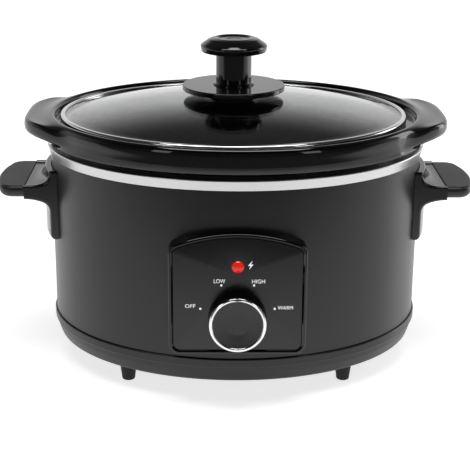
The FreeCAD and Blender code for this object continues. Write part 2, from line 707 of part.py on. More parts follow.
def lid_knob_parts():
    """Mushroom knob over a wide splash disc, clamped through the glass by a screw, washers and a boss."""
    shift = "Dims.lid_shift_x"
    disc_bottom, disc_top, disc_radius = "Dims.disc_bottom_z", "Dims.disc_top_z", "Dims.disc_radius"
    stem, cap = "Dims.stem_radius", "Dims.cap_radius"
    cap_bottom, cap_rim, top = "Dims.cap_bottom_z", "Dims.cap_rim_z", "Dims.knob_top_z"
    bore = "2.4"
    turned_node("lid_knob", [
        (bore, disc_top), (f"{stem} + 2", disc_top), (f"{stem} + 1.6", f"{disc_top} + 1.2"),
        (stem, f"{disc_top} + 2"), (stem, cap_bottom), (f"{cap} - 1.8", cap_bottom),
        (f"{cap} - 0.6", f"{cap_bottom} + 0.8"), (cap, f"{cap_rim} - 0.8"),
        (f"{cap} - 1", f"{cap_rim} + 0.4"), ("17", f"{top} - 1"), ("14", top), ("12", f"{top} - 0.7"),
        ("9", f"{top} - 1.9"), ("0", f"{top} - 1.2"),
        ("0", f"{cap_bottom} - 6"), (bore, f"{cap_bottom} - 6")], shift)
    glass_top = "Dims.glass_apex_z"
    turned_node("knob_disc", [
        (bore, f"{glass_top} + 1"), ("19", f"{glass_top} + 1"), ("20", disc_bottom),
        (f"{disc_radius} - 1.2", disc_bottom), (disc_radius, f"{disc_bottom} + 1"),
        (disc_radius, f"{disc_top} - 0.8"), (f"{disc_radius} - 0.8", disc_top), (bore, disc_top)], shift)
    turned_node("knob_washer", [
        ("4", glass_top), ("18", glass_top), ("18", f"{glass_top} + 1"), ("4", f"{glass_top} + 1")], shift)


def lid_boss_parts():
    """What clamps the knob from below the glass: a washer, a boss and the screw through them."""
    shift = "Dims.lid_shift_x"
    glass_bottom = "Dims.glass_apex_z - Dims.glass_gauge - 0.4"
    boss_top, boss_bottom = f"{glass_bottom} - 1", f"{glass_bottom} - 8.5"
    turned_node("boss_washer", [
        ("4", boss_top), ("17", boss_top), ("17", glass_bottom), ("4", glass_bottom)], shift)
    turned_node("lid_boss", [
        ("2.4", boss_top), ("21", boss_top), ("22", f"{boss_top} - 1"), ("22", f"{boss_bottom} + 2"),
        ("19", boss_bottom), ("2.4", boss_bottom)], shift)
    screw_head, screw_end = f"{boss_bottom} - 2.1", "Dims.cap_bottom_z - 8"
    turned_node("lid_screw", [
        ("0", screw_head), ("4", screw_head), ("5", boss_bottom), ("2.3", boss_bottom), ("2.3", screw_end),
        ("0", screw_end)], shift)


# ---- Dial ----

def dial_parts():
    """Heat selector dial: a hollow skirted knob on the switch shaft, its ring, pointer and dished cap."""
    height, radius, shaft = "Dims.dial_height", "Dims.dial_radius", "Dims.shaft_radius"
    seat = "17.4"
    ring_seat, cap_seat = f"{height} - 2", f"{height} - 3.2"
    place = {"y": "-Dims.face_y", "z": "Dims.dial_z", "direction": "-Y"}
    turned_node("dial_knob", [
        (f"{radius} - 2", "0.5"), (radius, "0.5"), (f"{radius} - 0.8", ring_seat), (seat, ring_seat),
        (seat, cap_seat), (shaft, cap_seat), (shaft, "2.6"), ("6", "2.6"), ("6", "8"),
        (f"{radius} - 2.4", "8")], **place)
    turned_node("dial_ring", [
        (seat, ring_seat), (f"{radius} - 0.8", ring_seat), (f"{radius} - 0.9", f"{height} - 0.6"),
        (f"{radius} - 1.7", height), (f"{seat} + 0.5", height), (seat, f"{height} - 0.6")], **place)
    turned_node("dial_cap", [
        ("0", cap_seat), (seat, cap_seat), (seat, f"{height} - 0.9"), ("15", f"{height} - 1.2"),
        ("8", f"{height} - 1.9"), ("0", f"{height} - 2.1")], **place)
    turned_node("switch_shaft", [("0", "-14"), (shaft, "-14"), (shaft, cap_seat), ("0", cap_seat)], **place)
    lobes = []
    for rise in (-10.2, 7.2):
        centre = ("0", f"-Dims.face_y - {height}", f"Dims.dial_z + {radius} + {rise}")
        lobes.append(rod("9.5", "0.7", centre, "-Y"))
    node(common(*lobes), "dial_pointer")


def build():
    """Make every sub-part, body by body."""
    outer_shell()
    trim_band()
    heating_liner()
    base_ring()
    base_tray()
    feet()
    tie_hardware()
    handle_left()
    grip_left()
    mirrored_node("handle_right", "handle_left")
    mirrored_node("grip_right", "grip_left")
    handle_screws()
    panel_parts()
    indicator()
    rotary_switch()
    heating_parts()
    electrical_parts()
    leads()
    crock()
    lid_glass()
    lid_rim()
    lid_knob_parts()
    lid_boss_parts()
    dial_parts()
    doc.recompute()


def check():
    """Stop if any object failed or any sub-part is missing or invalid."""
    bad_states = {"Invalid", "Error"}
    failed = [f"{thing.Label} {thing.State}" for thing in doc.Objects if bad_states & set(thing.State)]
    for label, thing in NODES.items():
        if thing.Shape.isNull() or not thing.Shape.isValid() or not thing.Shape.Solids:
            failed.append(f"{label} has no valid solid")
    if failed:
        raise RuntimeError("; ".join(failed))


def export():
    """Write one STEP file for each sub-part."""
    os.makedirs("parts", exist_ok=True)
    for label, thing in NODES.items():
        thing.Shape.exportStep(f"parts/{label}.step")


build()
check()
export()
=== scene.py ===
"""Oval slow cooker: finished surfaces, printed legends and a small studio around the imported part.

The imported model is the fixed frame, in metres. Sizes in this file are millimetres unless they say
otherwise, and they are read from the frame wherever a CAD node holds them. Each sub-assembly is a class
that builds its own meshes, dresses them in a finish and rides them on a body.
"""
from __future__ import annotations

import json
import logging
import math
from collections.abc import Callable, Sequence
from dataclasses import dataclass, field
from enum import Enum

import bmesh
import bpy
from mathutils import Matrix, Vector


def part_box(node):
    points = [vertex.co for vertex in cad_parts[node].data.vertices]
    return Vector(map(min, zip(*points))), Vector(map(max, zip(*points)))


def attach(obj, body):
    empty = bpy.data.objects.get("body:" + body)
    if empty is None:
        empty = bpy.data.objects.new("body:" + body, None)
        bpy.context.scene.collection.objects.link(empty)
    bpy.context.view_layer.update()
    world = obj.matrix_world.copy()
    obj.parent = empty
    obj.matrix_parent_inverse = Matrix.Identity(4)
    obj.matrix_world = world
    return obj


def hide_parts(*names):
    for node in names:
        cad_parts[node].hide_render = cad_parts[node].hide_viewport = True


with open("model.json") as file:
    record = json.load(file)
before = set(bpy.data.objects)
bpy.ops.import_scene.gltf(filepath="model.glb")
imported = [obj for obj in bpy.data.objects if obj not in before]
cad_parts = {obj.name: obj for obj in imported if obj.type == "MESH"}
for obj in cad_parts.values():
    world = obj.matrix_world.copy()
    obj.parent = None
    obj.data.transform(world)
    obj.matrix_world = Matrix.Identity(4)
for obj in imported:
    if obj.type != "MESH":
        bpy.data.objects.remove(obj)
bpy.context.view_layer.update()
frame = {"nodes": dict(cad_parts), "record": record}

LOG = logging.getLogger("slow_cooker")
MM = 0.001
CREASE_DEG = 38.0


# ---- Reading the frame ----

@dataclass(frozen=True)
class Extent:
    """Lowest and highest corner of a CAD node, in millimetres."""

    low: Vector
    high: Vector

    @classmethod
    def of(cls, node: str) -> Extent:
        """The extent of a named CAD node."""
        low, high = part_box(node)
        return cls(low / MM, high / MM)

    @property
    def centre(self) -> Vector:
        """The middle of the box."""
        return (self.low + self.high) / 2

    @property
    def half(self) -> Vector:
        """Half the box's size along each axis."""
        return (self.high - self.low) / 2


SHELL = Extent.of("outer_shell")
OVAL_CENTRE_Y = SHELL.centre.y
BODY_LENGTH = SHELL.half.x
BODY_DEPTH = SHELL.half.y


# ---- Plans: what a turn and a distance outwards give in level view ----

@dataclass(frozen=True)
class Round:
    """A circular plan about a centre."""

    x: float = 0.0
    y: float = 0.0

    def point(self, turn: float, out: float) -> tuple[float, float]:
        """The level point at a turn, at a radius."""
        return self.x + out * math.cos(turn), self.y + out * math.sin(turn)


@dataclass(frozen=True)
class Oval:
    """An oval plan, whose outward distance is measured from its own edge."""

    half_length: float
    half_depth: float
    x: float = 0.0
    y: float = OVAL_CENTRE_Y

    def point(self, turn: float, out: float) -> tuple[float, float]:
        """The level point at a turn, a distance outside the oval."""
        return (self.x + (self.half_length + out) * math.cos(turn),
                self.y + (self.half_depth + out) * math.sin(turn))


BODY = Oval(BODY_LENGTH, BODY_DEPTH)


# ---- Profiles: rounded corners, each an outward distance, a height and a radius ----

Corner = tuple[float, float, float]

# The share of a side that the two arcs at its ends may use together.
ARC_ROOM = 0.96
# The share that a sharp neighbour still claims, and the most of its own room that an arc takes.
SHARP_CLAIM = 0.04
ARC_REACH = 0.97
# How far past an arc its holding point lies, in radii, and the most of the free side that it may use.
HOLD_RADII = 0.3
HOLD_ROOM = 0.6


def rounded(corners: Sequence[Corner], closed: bool, steps: int = 6) -> list[Vector]:
    """Turn a polygon into a smooth outline by rounding its corners.

    Args:
        corners: Each corner as (across, up, radius). A radius of zero leaves it sharp.
        closed: True for a loop, False for an open profile, whose two ends stay as they are.
        steps: Straight pieces in each rounded corner.

    Returns:
        The outline's points. A holding point beside each arc keeps the flats looking flat.
    """
    outline: list[Vector] = []
    count = len(corners)
    for i, (across, up, radius) in enumerate(corners):
        here = Vector((across, up))
        if radius <= 0 or (not closed and i in (0, count - 1)):
            outline.append(here)
            continue
        sides = []
        for neighbour in (corners[i - 1], corners[(i + 1) % count]):
            side = Vector(neighbour[:2]) - here
            share = ARC_ROOM * radius / (radius + max(neighbour[2], SHARP_CLAIM * radius))
            sides.append((side.normalized(), share * side.length))
        (back, back_room), (ahead, ahead_room) = sides
        half_angle = back.angle(ahead) / 2
        reach = min(radius / math.tan(half_angle), ARC_REACH * back_room, ARC_REACH * ahead_room)
        true_radius = reach * math.tan(half_angle)
        centre = here + (back + ahead).normalized() * math.hypot(reach, true_radius)
        spoke = here + back * reach - centre
        turn = -spoke.angle_signed(here + ahead * reach - centre)
        hold = HOLD_RADII * true_radius
        outline.append(here + back * (reach + min(hold, HOLD_ROOM * (back_room - reach))))
        outline += [centre + Matrix.Rotation(turn * k / steps, 2) @ spoke for k in range(steps + 1)]
        outline.append(here + ahead * (reach + min(hold, HOLD_ROOM * (ahead_room - reach))))
    return outline


# ---- Skins: closed surfaces through rings of points ----

Ring = list[Vector]


def make_object(name: str, data: bpy.types.ID) -> bpy.types.Object:
    """Link a mesh, curve, light or camera into the scene as an object at the origin."""
    piece = bpy.data.objects.new(name, data)
    bpy.context.scene.collection.objects.link(piece)
    return piece


def evaluated_mesh(piece: bpy.types.Object) -> bpy.types.Mesh:
    """A plain mesh of the piece as its modifiers leave it."""
    view = bpy.context.evaluated_depsgraph_get()
    return bpy.data.meshes.new_from_object(piece.evaluated_get(view))


def shade(mesh: bpy.types.Mesh, crease_deg: float = CREASE_DEG) -> None:
    """Shade smooth except over edges that turn more than the crease angle."""
    mesh.shade_smooth()
    mesh.set_sharp_from_angle(angle=math.radians(crease_deg))


def turns_round(count: int) -> list[float]:
    """Evenly spaced turns round a full circle."""
    return [2 * math.pi * i / count for i in range(count)]


def close_mesh(shape: bmesh.types.BMesh, name: str, crease_deg: float = CREASE_DEG) -> bpy.types.Mesh:
    """Merge doubled points, point the faces outwards and shade smooth except over sharp edges.

    Args:
        shape: The surface, in metres. It is freed here.
        name: The mesh's name.
        crease_deg: Edges that turn more than this stay sharp.

    Returns:
        The finished mesh.
    """
    bmesh.ops.remove_doubles(shape, verts=shape.verts, dist=0.002 * MM)
    bmesh.ops.dissolve_degenerate(shape, edges=shape.edges, dist=0.002 * MM)
    bmesh.ops.recalc_face_normals(shape, faces=shape.faces)
    mesh = bpy.data.meshes.new(name)
    shape.to_mesh(mesh)
    shape.free()
    shade(mesh, crease_deg)
    return mesh


def join_rings(shape: bmesh.types.BMesh, rings: Sequence[Ring],
               closed: bool = False) -> list[list[bmesh.types.BMVert]]:
    """Add rings to a surface, with four-sided faces between neighbours.

    Args:
        shape: The surface, in metres.
        rings: The rings in order, in millimetres, all with the same number of points.
        closed: True when the last ring meets the first.

    Returns:
        Each ring's vertices.
    """
    rows = [[shape.verts.new(point * MM) for point in ring] for ring in rings]
    neighbours = list(zip(rows, rows[1:]))
    if closed:
        neighbours.append((rows[-1], rows[0]))
    for near, far in neighbours:
        for i in range(len(near)):
            k = (i + 1) % len(near)
            shape.faces.new((near[i], near[k], far[k], far[i]))
    return rows


def skin(name: str, rings: Sequence[Ring], closed: bool = False, crease_deg: float = CREASE_DEG,
         placing: Matrix | None = None) -> bpy.types.Object:
    """A closed surface through rings that all have the same number of points.

    Args:
        name: The piece's name.
        rings: The rings in order, in millimetres.
        closed: True when the last ring meets the first, as on a hoop; otherwise both ends get a flat cap.
        crease_deg: Edges that turn more than this stay sharp.
        placing: Where the rings go, in millimetres, if not where they are.

    Returns:
        The new object.
    """
    shape = bmesh.new()
    placing = placing or Matrix()
    rows = join_rings(shape, [[placing @ point for point in ring] for ring in rings], closed)
    if not closed:
        for row in (rows[0], rows[-1]):
            middle = sum((vertex.co for vertex in row), Vector()) / len(row)
            hub = shape.verts.new(middle)
            for i in range(len(row)):
                shape.faces.new((row[i], row[(i + 1) % len(row)], hub))
    return make_object(name, close_mesh(shape, name, crease_deg))


def swept(name: str, plan: Round | Oval, corners: Sequence[Corner], closed: bool = False, count: int = 192,
          placing: Matrix | None = None) -> bpy.types.Object:
    """A profile carried once round a plan.

    Args:
        name: The piece's name.
        plan: The circle or oval that it follows.
        corners: The profile, as for rounded(), from one end cap to the other or as a loop.
        closed: True for a hoop.
        count: Points round the plan.
        placing: Turns and moves the result, in millimetres.

    Returns:
        The new object.
    """
    rings = [[Vector((*plan.point(turn, point.x), point.y)) for turn in turns_round(count)]
             for point in rounded(corners, closed)]
    return skin(name, rings, closed, placing=placing)


def facing_front(x: float, y: float, z: float) -> Matrix:
    """Placing that stands a turned shape's axis along -Y, towards the front, from a point in millimetres."""
    return Matrix.Translation((x, y, z)) @ Matrix.Rotation(math.pi / 2, 4, "X")


def subdivided(piece: bpy.types.Object, levels: int) -> bpy.types.Object:
    """Give a piece a subdivision surface with the same levels everywhere."""
    modifier = piece.modifiers.new("Smooth surface", "SUBSURF")
    modifier.levels = levels
    modifier.render_levels = levels
    return piece


def carve(piece: bpy.types.Object, cutters: Sequence[bpy.types.Object]) -> bpy.types.Object:
    """Cut other closed shapes out of a piece and remove them.

    Args:
        piece: The mesh object that is cut.
        cutters: The closed mesh objects to take away.

    Returns:
        The same object, with a plain mesh.
    """
    for cutter in cutters:
        modifier = piece.modifiers.new("Cut", "BOOLEAN")
        modifier.object = cutter
        modifier.solver = "EXACT"
    mesh = evaluated_mesh(piece)
    piece.modifiers.clear()
    piece.data = mesh
    shade(mesh)
    for cutter in cutters:
        bpy.data.objects.remove(cutter)
    return piece


# ---- Node trees ----

Setting = float | Sequence[float] | bpy.types.NodeSocket | bpy.types.Material


def add(tree: bpy.types.NodeTree, kind: str, wires: dict[str | int, Setting] | None = None,
        **settings: object) -> bpy.types.Node:
    """Add a node with its settings, values and links.

    Args:
        tree: The tree that gets the node.
        kind: The node type's own name.
        wires: For each input, by name or number, a value or the output that feeds it.
        settings: The node's own properties.

    Returns:
        The new node.
    """
    node = tree.nodes.new(kind)
    for name, value in settings.items():
        setattr(node, name, value)
    for key, value in (wires or {}).items():
        if isinstance(value, bpy.types.NodeSocket):
            tree.links.new(value, node.inputs[key])
        else:
            node.inputs[key].default_value = value
    return node


def linear(hex_colour: str) -> tuple[float, float, float, float]:
    """An sRGB hex colour as the linear colour that shaders take."""
    channels = [int(hex_colour[i:i + 2], 16) / 255 for i in (0, 2, 4)]
    red, green, blue = [c / 12.92 if c <= 0.04045 else ((c + 0.055) / 1.055) ** 2.4 for c in channels]
    return red, green, blue, 1.0


def per_metre(size_mm: float) -> float:
    """The texture scale that makes features of a size in millimetres on Object coordinates."""
    return 1.0 / (size_mm * MM)


# ---- Finishes ----

@dataclass(frozen=True)
class Finish:
    """A surface whose colour, gloss and relief vary over the piece's own coordinates."""

    title: str
    colour: str
    second_colour: str
    roughness: float
    patch_mm: float = 30.0
    grain_mm: float = 0.8
    relief_mm: float = 0.01
    gloss_spread: float = 0.05
    metallic: float = 0.0
    ior: float = 1.5

    def relief(self, tree: bpy.types.NodeTree, place: bpy.types.NodeSocket) -> bpy.types.NodeSocket:
        """Height of the grain between 0 and 1; here an even random grain."""
        grain = {"Vector": place, "Scale": per_metre(self.grain_mm), "Detail": 3.0, "Roughness": 0.6}
        return add(tree, "ShaderNodeTexNoise", grain).outputs["Fac"]

    def patches(self, tree: bpy.types.NodeTree, place: bpy.types.NodeSocket) -> bpy.types.NodeSocket:
        """Slow variation between 0 and 1 that mixes the two colours and the gloss."""
        cloud = {"Vector": place, "Scale": per_metre(self.patch_mm), "Detail": 2.0}
        return add(tree, "ShaderNodeTexNoise", cloud).outputs["Fac"]

    def shader_extras(self, shader: bpy.types.Node) -> None:
        """Set what only some finishes need on the shader."""

    def material(self) -> bpy.types.Material:
        """Build the node material.

        Returns:
            The material, which is built only once.
        """
        if self.title in bpy.data.materials:
            return bpy.data.materials[self.title]
        material = bpy.data.materials.new(self.title)
        material.use_nodes = True
        tree = material.node_tree
        tree.nodes.clear()
        place = add(tree, "ShaderNodeTexCoord").outputs["Object"]
        patches = self.patches(tree, place)
        height = self.relief(tree, place)
        tint = add(tree, "ShaderNodeMix", {"Factor": patches}, data_type="RGBA")
        for socket, value in (("A", self.colour), ("B", self.second_colour)):
            colour_socket = [each for each in tint.inputs if each.name == socket and each.type == "RGBA"][0]
            colour_socket.default_value = linear(value)
        tint_out = [each for each in tint.outputs if each.type == "RGBA"][0]
        low, high = max(self.roughness - self.gloss_spread, 0.0), self.roughness + self.gloss_spread
        gloss = add(tree, "ShaderNodeMapRange", {"Value": patches, "To Min": low, "To Max": high})
        relief = {"Height": height, "Distance": self.relief_mm * MM, "Strength": 1.0}
        bump = add(tree, "ShaderNodeBump", relief)
        shader = add(tree, "ShaderNodeBsdfPrincipled", {
            "Base Color": tint_out, "Roughness": gloss.outputs["Result"], "Metallic": self.metallic,
            "IOR": self.ior, "Normal": bump.outputs["Normal"]})
        self.shader_extras(shader)
        add(tree, "ShaderNodeOutputMaterial", {"Surface": shader.outputs["BSDF"]})
        return material


@dataclass(frozen=True)
class Directional(Finish):
    """A finish whose grain is drawn out along one or two axes, such as brushing or braid."""

    stretch: tuple[float, float, float] = (1.0, 1.0, 1.0)

    def relief(self, tree: bpy.types.NodeTree, place: bpy.types.NodeSocket) -> bpy.types.NodeSocket:
        """Height of the drawn-out grain between 0 and 1."""
        drawn = add(tree, "ShaderNodeMapping", {"Vector": place, "Scale": self.stretch}).outputs["Vector"]
        grain = {"Vector": drawn, "Scale": per_metre(self.grain_mm), "Detail": 4.0, "Roughness": 0.7}
        return add(tree, "ShaderNodeTexNoise", grain).outputs["Fac"]


@dataclass(frozen=True)
class Pebbled(Finish):
    """A spark-eroded mould texture: small rounded cells."""

    def relief(self, tree: bpy.types.NodeTree, place: bpy.types.NodeSocket) -> bpy.types.NodeSocket:
        """Height of the cells between 0 and 1."""
        cells = {"Vector": place, "Scale": per_metre(self.grain_mm), "Smoothness": 0.6}
        return add(tree, "ShaderNodeTexVoronoi", cells, feature="SMOOTH_F1").outputs["Distance"]


@dataclass(frozen=True)
class Clear(Finish):
    """A finish that light passes through or comes from."""

    transmission: float = 1.0
    glow: float = 0.0
    glow_colour: str = "ff3010"

    def shader_extras(self, shader: bpy.types.Node) -> None:
        """Let light through, and glow by the finish's own amount."""
        shader.inputs["Transmission Weight"].default_value = self.transmission
        shader.inputs["Emission Color"].default_value = linear(self.glow_colour)
        shader.inputs["Emission Strength"].default_value = self.glow


# Powder coat on steel: even, satin, with a very fine orange peel.
SHELL_PAINT = Finish("Satin powder coat", "101011", "131314", 0.34, 60, 1.6, 0.012, 0.03)
# Stainless strip brushed along its length: bright, with fine level scratches.
BRUSHED_STRIP = Directional("Brushed stainless strip", "c9c9c9", "d2d2d2", 0.34, 14, 1.2, 0.010, 0.06, 1.0,
                            stretch=(0.08, 0.08, 3.0))
# Polished stainless, as rolled: mirror-like with faint waviness.
POLISHED_STEEL = Finish("Polished stainless steel", "cfcfcf", "dadada", 0.12, 10, 6.0, 0.012, 0.04, 1.0)
# Pressed aluminium pot: grey, with drawing marks round the wall.
PRESSED_ALUMINIUM = Directional("Pressed aluminium", "a9aaa8", "b4b4b2", 0.38, 25, 2.5, 0.02, 0.08, 1.0,
                                stretch=(0.15, 0.15, 2.5))
# Polypropylene base mouldings: nearly black, low gloss.
BASE_PLASTIC = Pebbled("Moulded polypropylene", "0b0b0c", "101011", 0.36, 30, 0.7, 0.010, 0.05)
# Foot rubber: dull and slightly dusty.
RUBBER = Finish("Moulded rubber", "090909", "10100f", 0.7, 4, 0.5, 0.02, 0.08)
# Zinc-plated steel hardware: greyish silver with a mottled bloom.
ZINC_PLATE = Finish("Zinc-plated steel", "a8a9a6", "c0c0bb", 0.33, 5, 1.0, 0.01, 0.10, 1.0)
# Phenolic handle moulding: smooth black with a soft shine.
HANDLE_PLASTIC = Finish("Moulded phenolic, satin", "0e0e0f", "131314", 0.17, 25, 2.0, 0.004, 0.03)
# Grip cap: the same resin with an eroded mould texture, so it looks greyer.
GRIP_PLASTIC = Pebbled("Moulded phenolic, textured", "121213", "171718", 0.44, 18, 0.6, 0.015, 0.05)
# Panel frame: high-gloss ABS, almost black between its highlights.
GLOSS_ABS = Finish("Gloss moulded ABS", "060607", "080809", 0.09, 20, 9.0, 0.008, 0.02)
# Panel plate: ABS with a fine mould texture, a soft sheen instead of clear reflections.
MATT_ABS = Pebbled("Matt moulded ABS", "121213", "151516", 0.24, 22, 0.5, 0.004, 0.03)
# Tampo-printed ink: thin, dense and white; a faint painted glow keeps it legible on the dim front.
PRINT_INK_PAINTED_GLOW = Clear("Tampo-printed ink", "f4f4f4", "e6e6e6", 0.55, 2, 0.3, 0.004, 0.08, transmission=0.0,
                  glow=0.55, glow_colour="ffffff")
# Glazed stoneware: deep gloss over black, with the slow waviness of a dipped glaze.
GLAZE = Finish("Glazed stoneware", "070708", "0c0c0d", 0.06, 18, 14.0, 0.05, 0.03)
# Tempered soda-lime glass: clear, faintly wavy from pressing.
LID_GLASS = Clear("Tempered soda-lime glass", "fbfdfc", "f6faf8", 0.01, 60, 45.0, 0.02, 0.01, ior=1.52)
# Polished phenolic knob: black and mirror-smooth.
KNOB_RESIN = Finish("Polished phenolic", "0a0a0a", "0e0e0e", 0.06, 12, 12.0, 0.01, 0.02)
# Silicone washers: dull translucent grey.
SILICONE = Finish("Moulded silicone", "3a3a3a", "444444", 0.6, 5, 0.6, 0.01, 0.06)
# Dial cap and pointer window: gloss black, a little softer than the panel frame.
DIAL_PLASTIC = Finish("Gloss moulded dial ABS", "121213", "18181a", 0.16, 12, 6.0, 0.008, 0.03)
# Bright nickel-chrome plate on the dial ring.
BRIGHT_CHROME = Finish("Bright chrome plate", "e6e6e8", "f0f0f0", 0.10, 4, 5.0, 0.006, 0.03, 1.0)
# Red polycarbonate lens over a lit neon lamp: clear red with a faint glow of its own.
RED_LENS = Clear("Moulded red polycarbonate", "e01808", "c81004", 0.06, 3, 2.5, 0.05, 0.03, ior=1.58,
                 transmission=0.35, glow=0.25)
# Neon lamp glass: orange.
NEON = Clear("Neon lamp glass", "f0a060", "f0b080", 0.05, 3, 2.0, 0.01, 0.02, transmission=0.6, glow=1.5,
             glow_colour="ff7020")
# Switch body: dark nylon.
NYLON = Pebbled("Moulded nylon", "4a4a4c", "535355", 0.5, 6, 0.5, 0.01, 0.05)
# Heater band skin: rolled foil with fine creases.
FOIL = Directional("Rolled aluminium foil", "b6b6b6", "c6c6c6", 0.3, 6, 2.0, 0.10, 0.08, 1.0,
                   stretch=(1.0, 1.0, 0.4))
# Needled glass fibre: off-white, loose and fibrous.
GLASS_FELT = Directional("Needled glass fibre", "e4dfd0", "cfc9b8", 0.95, 8, 0.6, 0.20, 0.03,
                         stretch=(0.25, 1.0, 0.5))
# Unglazed steatite terminal block: cream and slightly rough.
STEATITE = Finish("Unglazed steatite", "ddd6c4", "d0c8b4", 0.7, 5, 0.5, 0.02, 0.05)
# Plain brass earth screw.
BRASS = Finish("Turned brass", "c69a4c", "b8893e", 0.28, 4, 0.5, 0.01, 0.08, 1.0)
# Braided glass sleeve: woven threads about a third of a millimetre wide, drawn coarser so that they show.
SLEEVE = Directional("Braided glass sleeve", "d8d2c2", "bfb8a6", 0.85, 3, 0.5, 0.12, 0.05,
                     stretch=(1.0, 0.5, 1.0))

SLOT_FINISHES: dict[str, Finish] = {
    "painted_shell": SHELL_PAINT, "brushed_band": BRUSHED_STRIP, "liner_metal": PRESSED_ALUMINIUM,
    "base_moulding": BASE_PLASTIC, "foot_rubber": RUBBER, "plated_steel": ZINC_PLATE,
    "handle_moulding": HANDLE_PLASTIC, "grip_moulding": GRIP_PLASTIC, "panel_gloss": GLOSS_ABS,
    "panel_matt": MATT_ABS, "lens_red": RED_LENS, "lamp_glass": NEON, "switch_moulding": NYLON,
    "heater_foil": FOIL, "glass_fibre": GLASS_FELT, "terminal_ceramic": STEATITE, "brass_fitting": BRASS,
    "lead_sleeve": SLEEVE, "glazed_stoneware": GLAZE, "lid_glass": LID_GLASS, "rim_steel": POLISHED_STEEL,
    "knob_phenolic": KNOB_RESIN, "silicone": SILICONE, "dial_moulding": DIAL_PLASTIC,
    "dial_chrome": BRIGHT_CHROME,
}


class Bodies(Enum):
    """The moving bodies that a piece can ride on."""

    BASE = "root"
    CROCK = "crock"
    LID = "lid"
    DIAL = "dial"


def dress(piece: bpy.types.Object, body: Bodies, slot: str, *nodes: str,
          finish: Finish | None = None) -> bpy.types.Object:
    """Give a finished piece its material and its body, and hide the CAD nodes that it stands for.

    Args:
        piece: The mesh object, at the origin.
        body: The body that it moves with.
        slot: The record's material slot, whose finish it gets unless another is given.
        nodes: The CAD nodes that it replaces.
        finish: A finish of its own.

    Returns:
        The same object.
    """
    piece.data.materials.clear()
    piece.data.materials.append((finish or SLOT_FINISHES[slot]).material())
    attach(piece, body.value)
    if nodes:
        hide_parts(*nodes)
    LOG.info("%s rides on %s", piece.name, body.value)
    return piece


# ---- Geometry node trees for what repeats ----

class RepeatTree:
    """A geometry node tree with named inputs, which places one small shape many times."""

    def __init__(self, name: str) -> None:
        """Start an empty tree."""
        self.tree = bpy.data.node_groups.new(name, "GeometryNodeTree")
        self.tree.interface.new_socket("Geometry", in_out="OUTPUT", socket_type="NodeSocketGeometry")
        self.sizes: dict[str, tuple[str, float]] = {}

    def inputs(self, **sizes: float) -> dict[str, bpy.types.NodeSocket]:
        """Args:
            sizes: Each input's value, in metres or radians.

        Returns:
            The socket that gives each input inside the tree.
        """
        for name, value in sizes.items():
            socket = self.tree.interface.new_socket(name, in_out="INPUT", socket_type="NodeSocketFloat")
            self.sizes[name] = (socket.identifier, value)
        source = add(self.tree, "NodeGroupInput")
        return {name: source.outputs[name] for name in sizes}

    def scatter(self, count: int, places: dict[str, Setting], shape: bpy.types.NodeSocket,
                material: bpy.types.Material) -> None:
        """Put the shape on counted points and end the tree with real geometry and its material.

        Args:
            count: How many points there are.
            places: X, Y and Z of each point, in metres.
            shape: The output of the node that makes the shape.
            material: What the copies are painted with.
        """
        place = add(self.tree, "ShaderNodeCombineXYZ", places)
        points = add(self.tree, "GeometryNodePoints", {"Count": count, "Position": place.outputs[0]})
        pair = {"Points": points.outputs[0], "Instance": shape}
        copies = add(self.tree, "GeometryNodeInstanceOnPoints", pair)
        real = add(self.tree, "GeometryNodeRealizeInstances", {"Geometry": copies.outputs[0]})
        wires = {"Geometry": real.outputs[0], "Material": material}
        painted = add(self.tree, "GeometryNodeSetMaterial", wires)
        add(self.tree, "NodeGroupOutput", {"Geometry": painted.outputs[0]})

    def grow(self, name: str) -> bpy.types.Object:
        """Run the tree once.

        Args:
            name: The new piece's name.

        Returns:
            The result as a plain mesh object.
        """
        seed = make_object(name, bpy.data.meshes.new(name))
        modifier = seed.modifiers.new("Repeat", "NODES")
        modifier.node_group = self.tree
        for identifier, value in self.sizes.values():
            modifier[identifier] = value
        mesh = evaluated_mesh(seed)
        seed.modifiers.clear()
        seed.data = mesh
        return seed


# ---- Base unit ----

